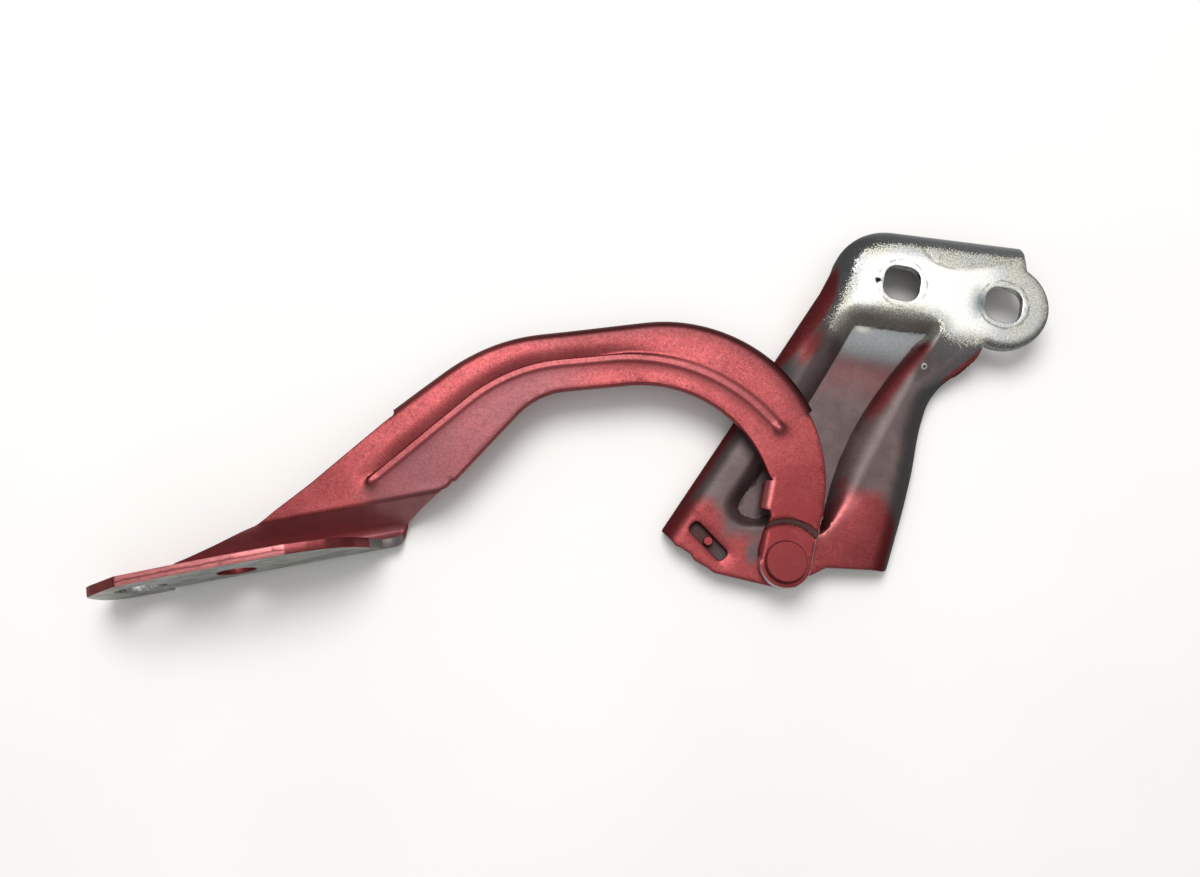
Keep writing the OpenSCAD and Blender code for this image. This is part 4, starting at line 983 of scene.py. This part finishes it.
# ------------------------------------------------------------------ pieces
arm = pressed("arm_pressing", [np.array(arm_outline)] + arm_holes, arm_surf, ARM_T, arm_rows, 1.7, 0.4, arm_masks, 0.9)
arm.data.materials.append(paint_arm())
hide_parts("bonnet_arm")
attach(arm, "arm")

bracket = pressed("bracket_pressing", [np.array(br_outline)] + br_holes, bracket_surf, BR_T, br_rows, 1.8, 0.4, bracket_masks, 0.9)
bracket.data.materials.append(paint_bracket())
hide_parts("body_bracket")
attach(bracket, "bracket")


def slot_painted_shade():
    m = Mat("slot_red_painted_shade")
    c, rough, h = red(m, 0.18)
    sep = m.n("ShaderNodeSeparateXYZ")
    m.link(m.co, sep.inputs[0])
    # painted shade: the pocket floor is a very dark red; painted light turns it a lighter grey-brown towards its right
    # end
    c = m.mix(m.span(sep.outputs[0], -0.068, -0.0615, 0.0, 0.8), c, (0.062, 0.046, 0.045))
    m.set(Base_Color=c, Roughness=m.span(h, 0.3, 0.7, 0.45, 0.6), Metallic=0.3)
    m.link(m.bump(h, 0.0001, 0.4), m.b.inputs["Normal"])
    return m.m


tray = pressed("slot_tray", [rounded_rect(-67.8, -106.6, 21, 9.6, 3.0, -34)], lambda P, d: np.concatenate([P, (-9.2 - d)[:, None]], 1), 1.8, [], 1.8, 0.4, lambda D, pos, kind: {}, 0.9)
tray.data.materials.append(slot_painted_shade())
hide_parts("body_bracket")
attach(tray, "bracket")


def finish_node(name, mat):
    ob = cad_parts[name]
    ob.data.materials.clear()
    ob.data.materials.append(mat)


finish_node("pivot_rivet", paint_small("rivet_red", 0.80, -0.0045))
finish_node("locating_peg", paint_small("peg_red", 0.95))
finish_node("pivot_bush", metal_plain("bush_bronze", (0.28, 0.19, 0.08), (0.45, 0.33, 0.15), 0.4))
# painted shade: the head washer is a dark red, standing in for the dark gap round the rivet head
finish_node("head_washer", metal_plain("washer_dark", (0.075, 0.015, 0.017), (0.13, 0.030, 0.033), 0.5))
finish_node("tail_washer", metal_plain("washer_zinc", (0.42, 0.42, 0.40), (0.64, 0.64, 0.60), 0.38))

# ------------------------------------------------------------------ stage
fm = Mat("paper")
n1, n2 = fm.noise(6.0, 3.0), fm.noise(900, 3.0)
fm.set(Base_Color=fm.mix(fm.span(n1, 0.3, 0.7), (0.90, 0.895, 0.885), (0.93, 0.925, 0.915)), Roughness=0.9, Specular_IOR_Level=0.15)
fm.link(fm.bump(n2, 0.0002, 0.15), fm.b.inputs["Normal"])
mesh = bpy.data.meshes.new("floor")
S = 4.0
mesh.from_pydata([(-S, -S, -0.01505), (S, -S, -0.01505), (S, S, -0.01505), (-S, S, -0.01505)], [], [(0, 1, 2, 3)])
floor = bpy.data.objects.new("floor", mesh)
bpy.context.scene.collection.objects.link(floor)
floor.data.materials.append(fm.m)

# soft dome: bright overhead, dim towards the horizon
world = bpy.data.worlds.new("studio")
bpy.context.scene.world = world
world.use_nodes = True
wt = world.node_tree
wc, ws, wr = wt.nodes.new("ShaderNodeTexCoord"), wt.nodes.new("ShaderNodeSeparateXYZ"), wt.nodes.new("ShaderNodeValToRGB")
wt.links.new(wc.outputs["Generated"], ws.inputs[0])
wt.links.new(ws.outputs[2], wr.inputs[0])
wr.color_ramp.interpolation = "EASE"
wr.color_ramp.elements[0].position, wr.color_ramp.elements[0].color = 0.05, (0.22, 0.22, 0.225, 1)
wr.color_ramp.elements[1].position, wr.color_ramp.elements[1].color = 0.95, (0.72, 0.715, 0.70, 1)
wt.links.new(wr.outputs[0], wt.nodes["Background"].inputs[0])
wt.nodes["Background"].inputs[1].default_value = 1.0


def area_light(name, at, look, size, power, color=(1, 1, 1)):
    data = bpy.data.lights.new(name, "AREA")
    data.shape, data.size, data.energy, data.color = "DISK", size, power, color
    ob = bpy.data.objects.new(name, data)
    bpy.context.scene.collection.objects.link(ob)
    ob.location = at
    ob.rotation_euler = (Vector(look) - Vector(at)).to_track_quat("-Z", "Y").to_euler()


area_light("key", (-0.10 - 0.183 * 1.15, -0.08 + 0.407 * 1.15, 0.895 * 1.15), (-0.10, -0.08, 0), 0.75, 9.0, (1.0, 0.985, 0.965))

cam = bpy.data.cameras.new("camera")
cam.sensor_fit, cam.sensor_width, cam.lens = "HORIZONTAL", 36.0, 985.0 / 1200 * 36.0
cam_ob = bpy.data.objects.new("camera", cam)
bpy.context.scene.collection.objects.link(cam_ob)
right, up, fwd = Vector((0.97455, 0.22419, 0.0)), Vector((-0.2184, 0.9496, 0.2250)), Vector((-0.0504, 0.2192, -0.9744))
rot = Matrix((right.normalized(), up.normalized(), (-fwd).normalized())).transposed()
cam_ob.matrix_world = Matrix.Translation((-0.09498, -0.15633, 0.33513)) @ rot.to_4x4()
cam.clip_start = 0.01
bpy.context.scene.camera = cam_ob
bpy.context.scene.view_settings.view_transform = "Standard"
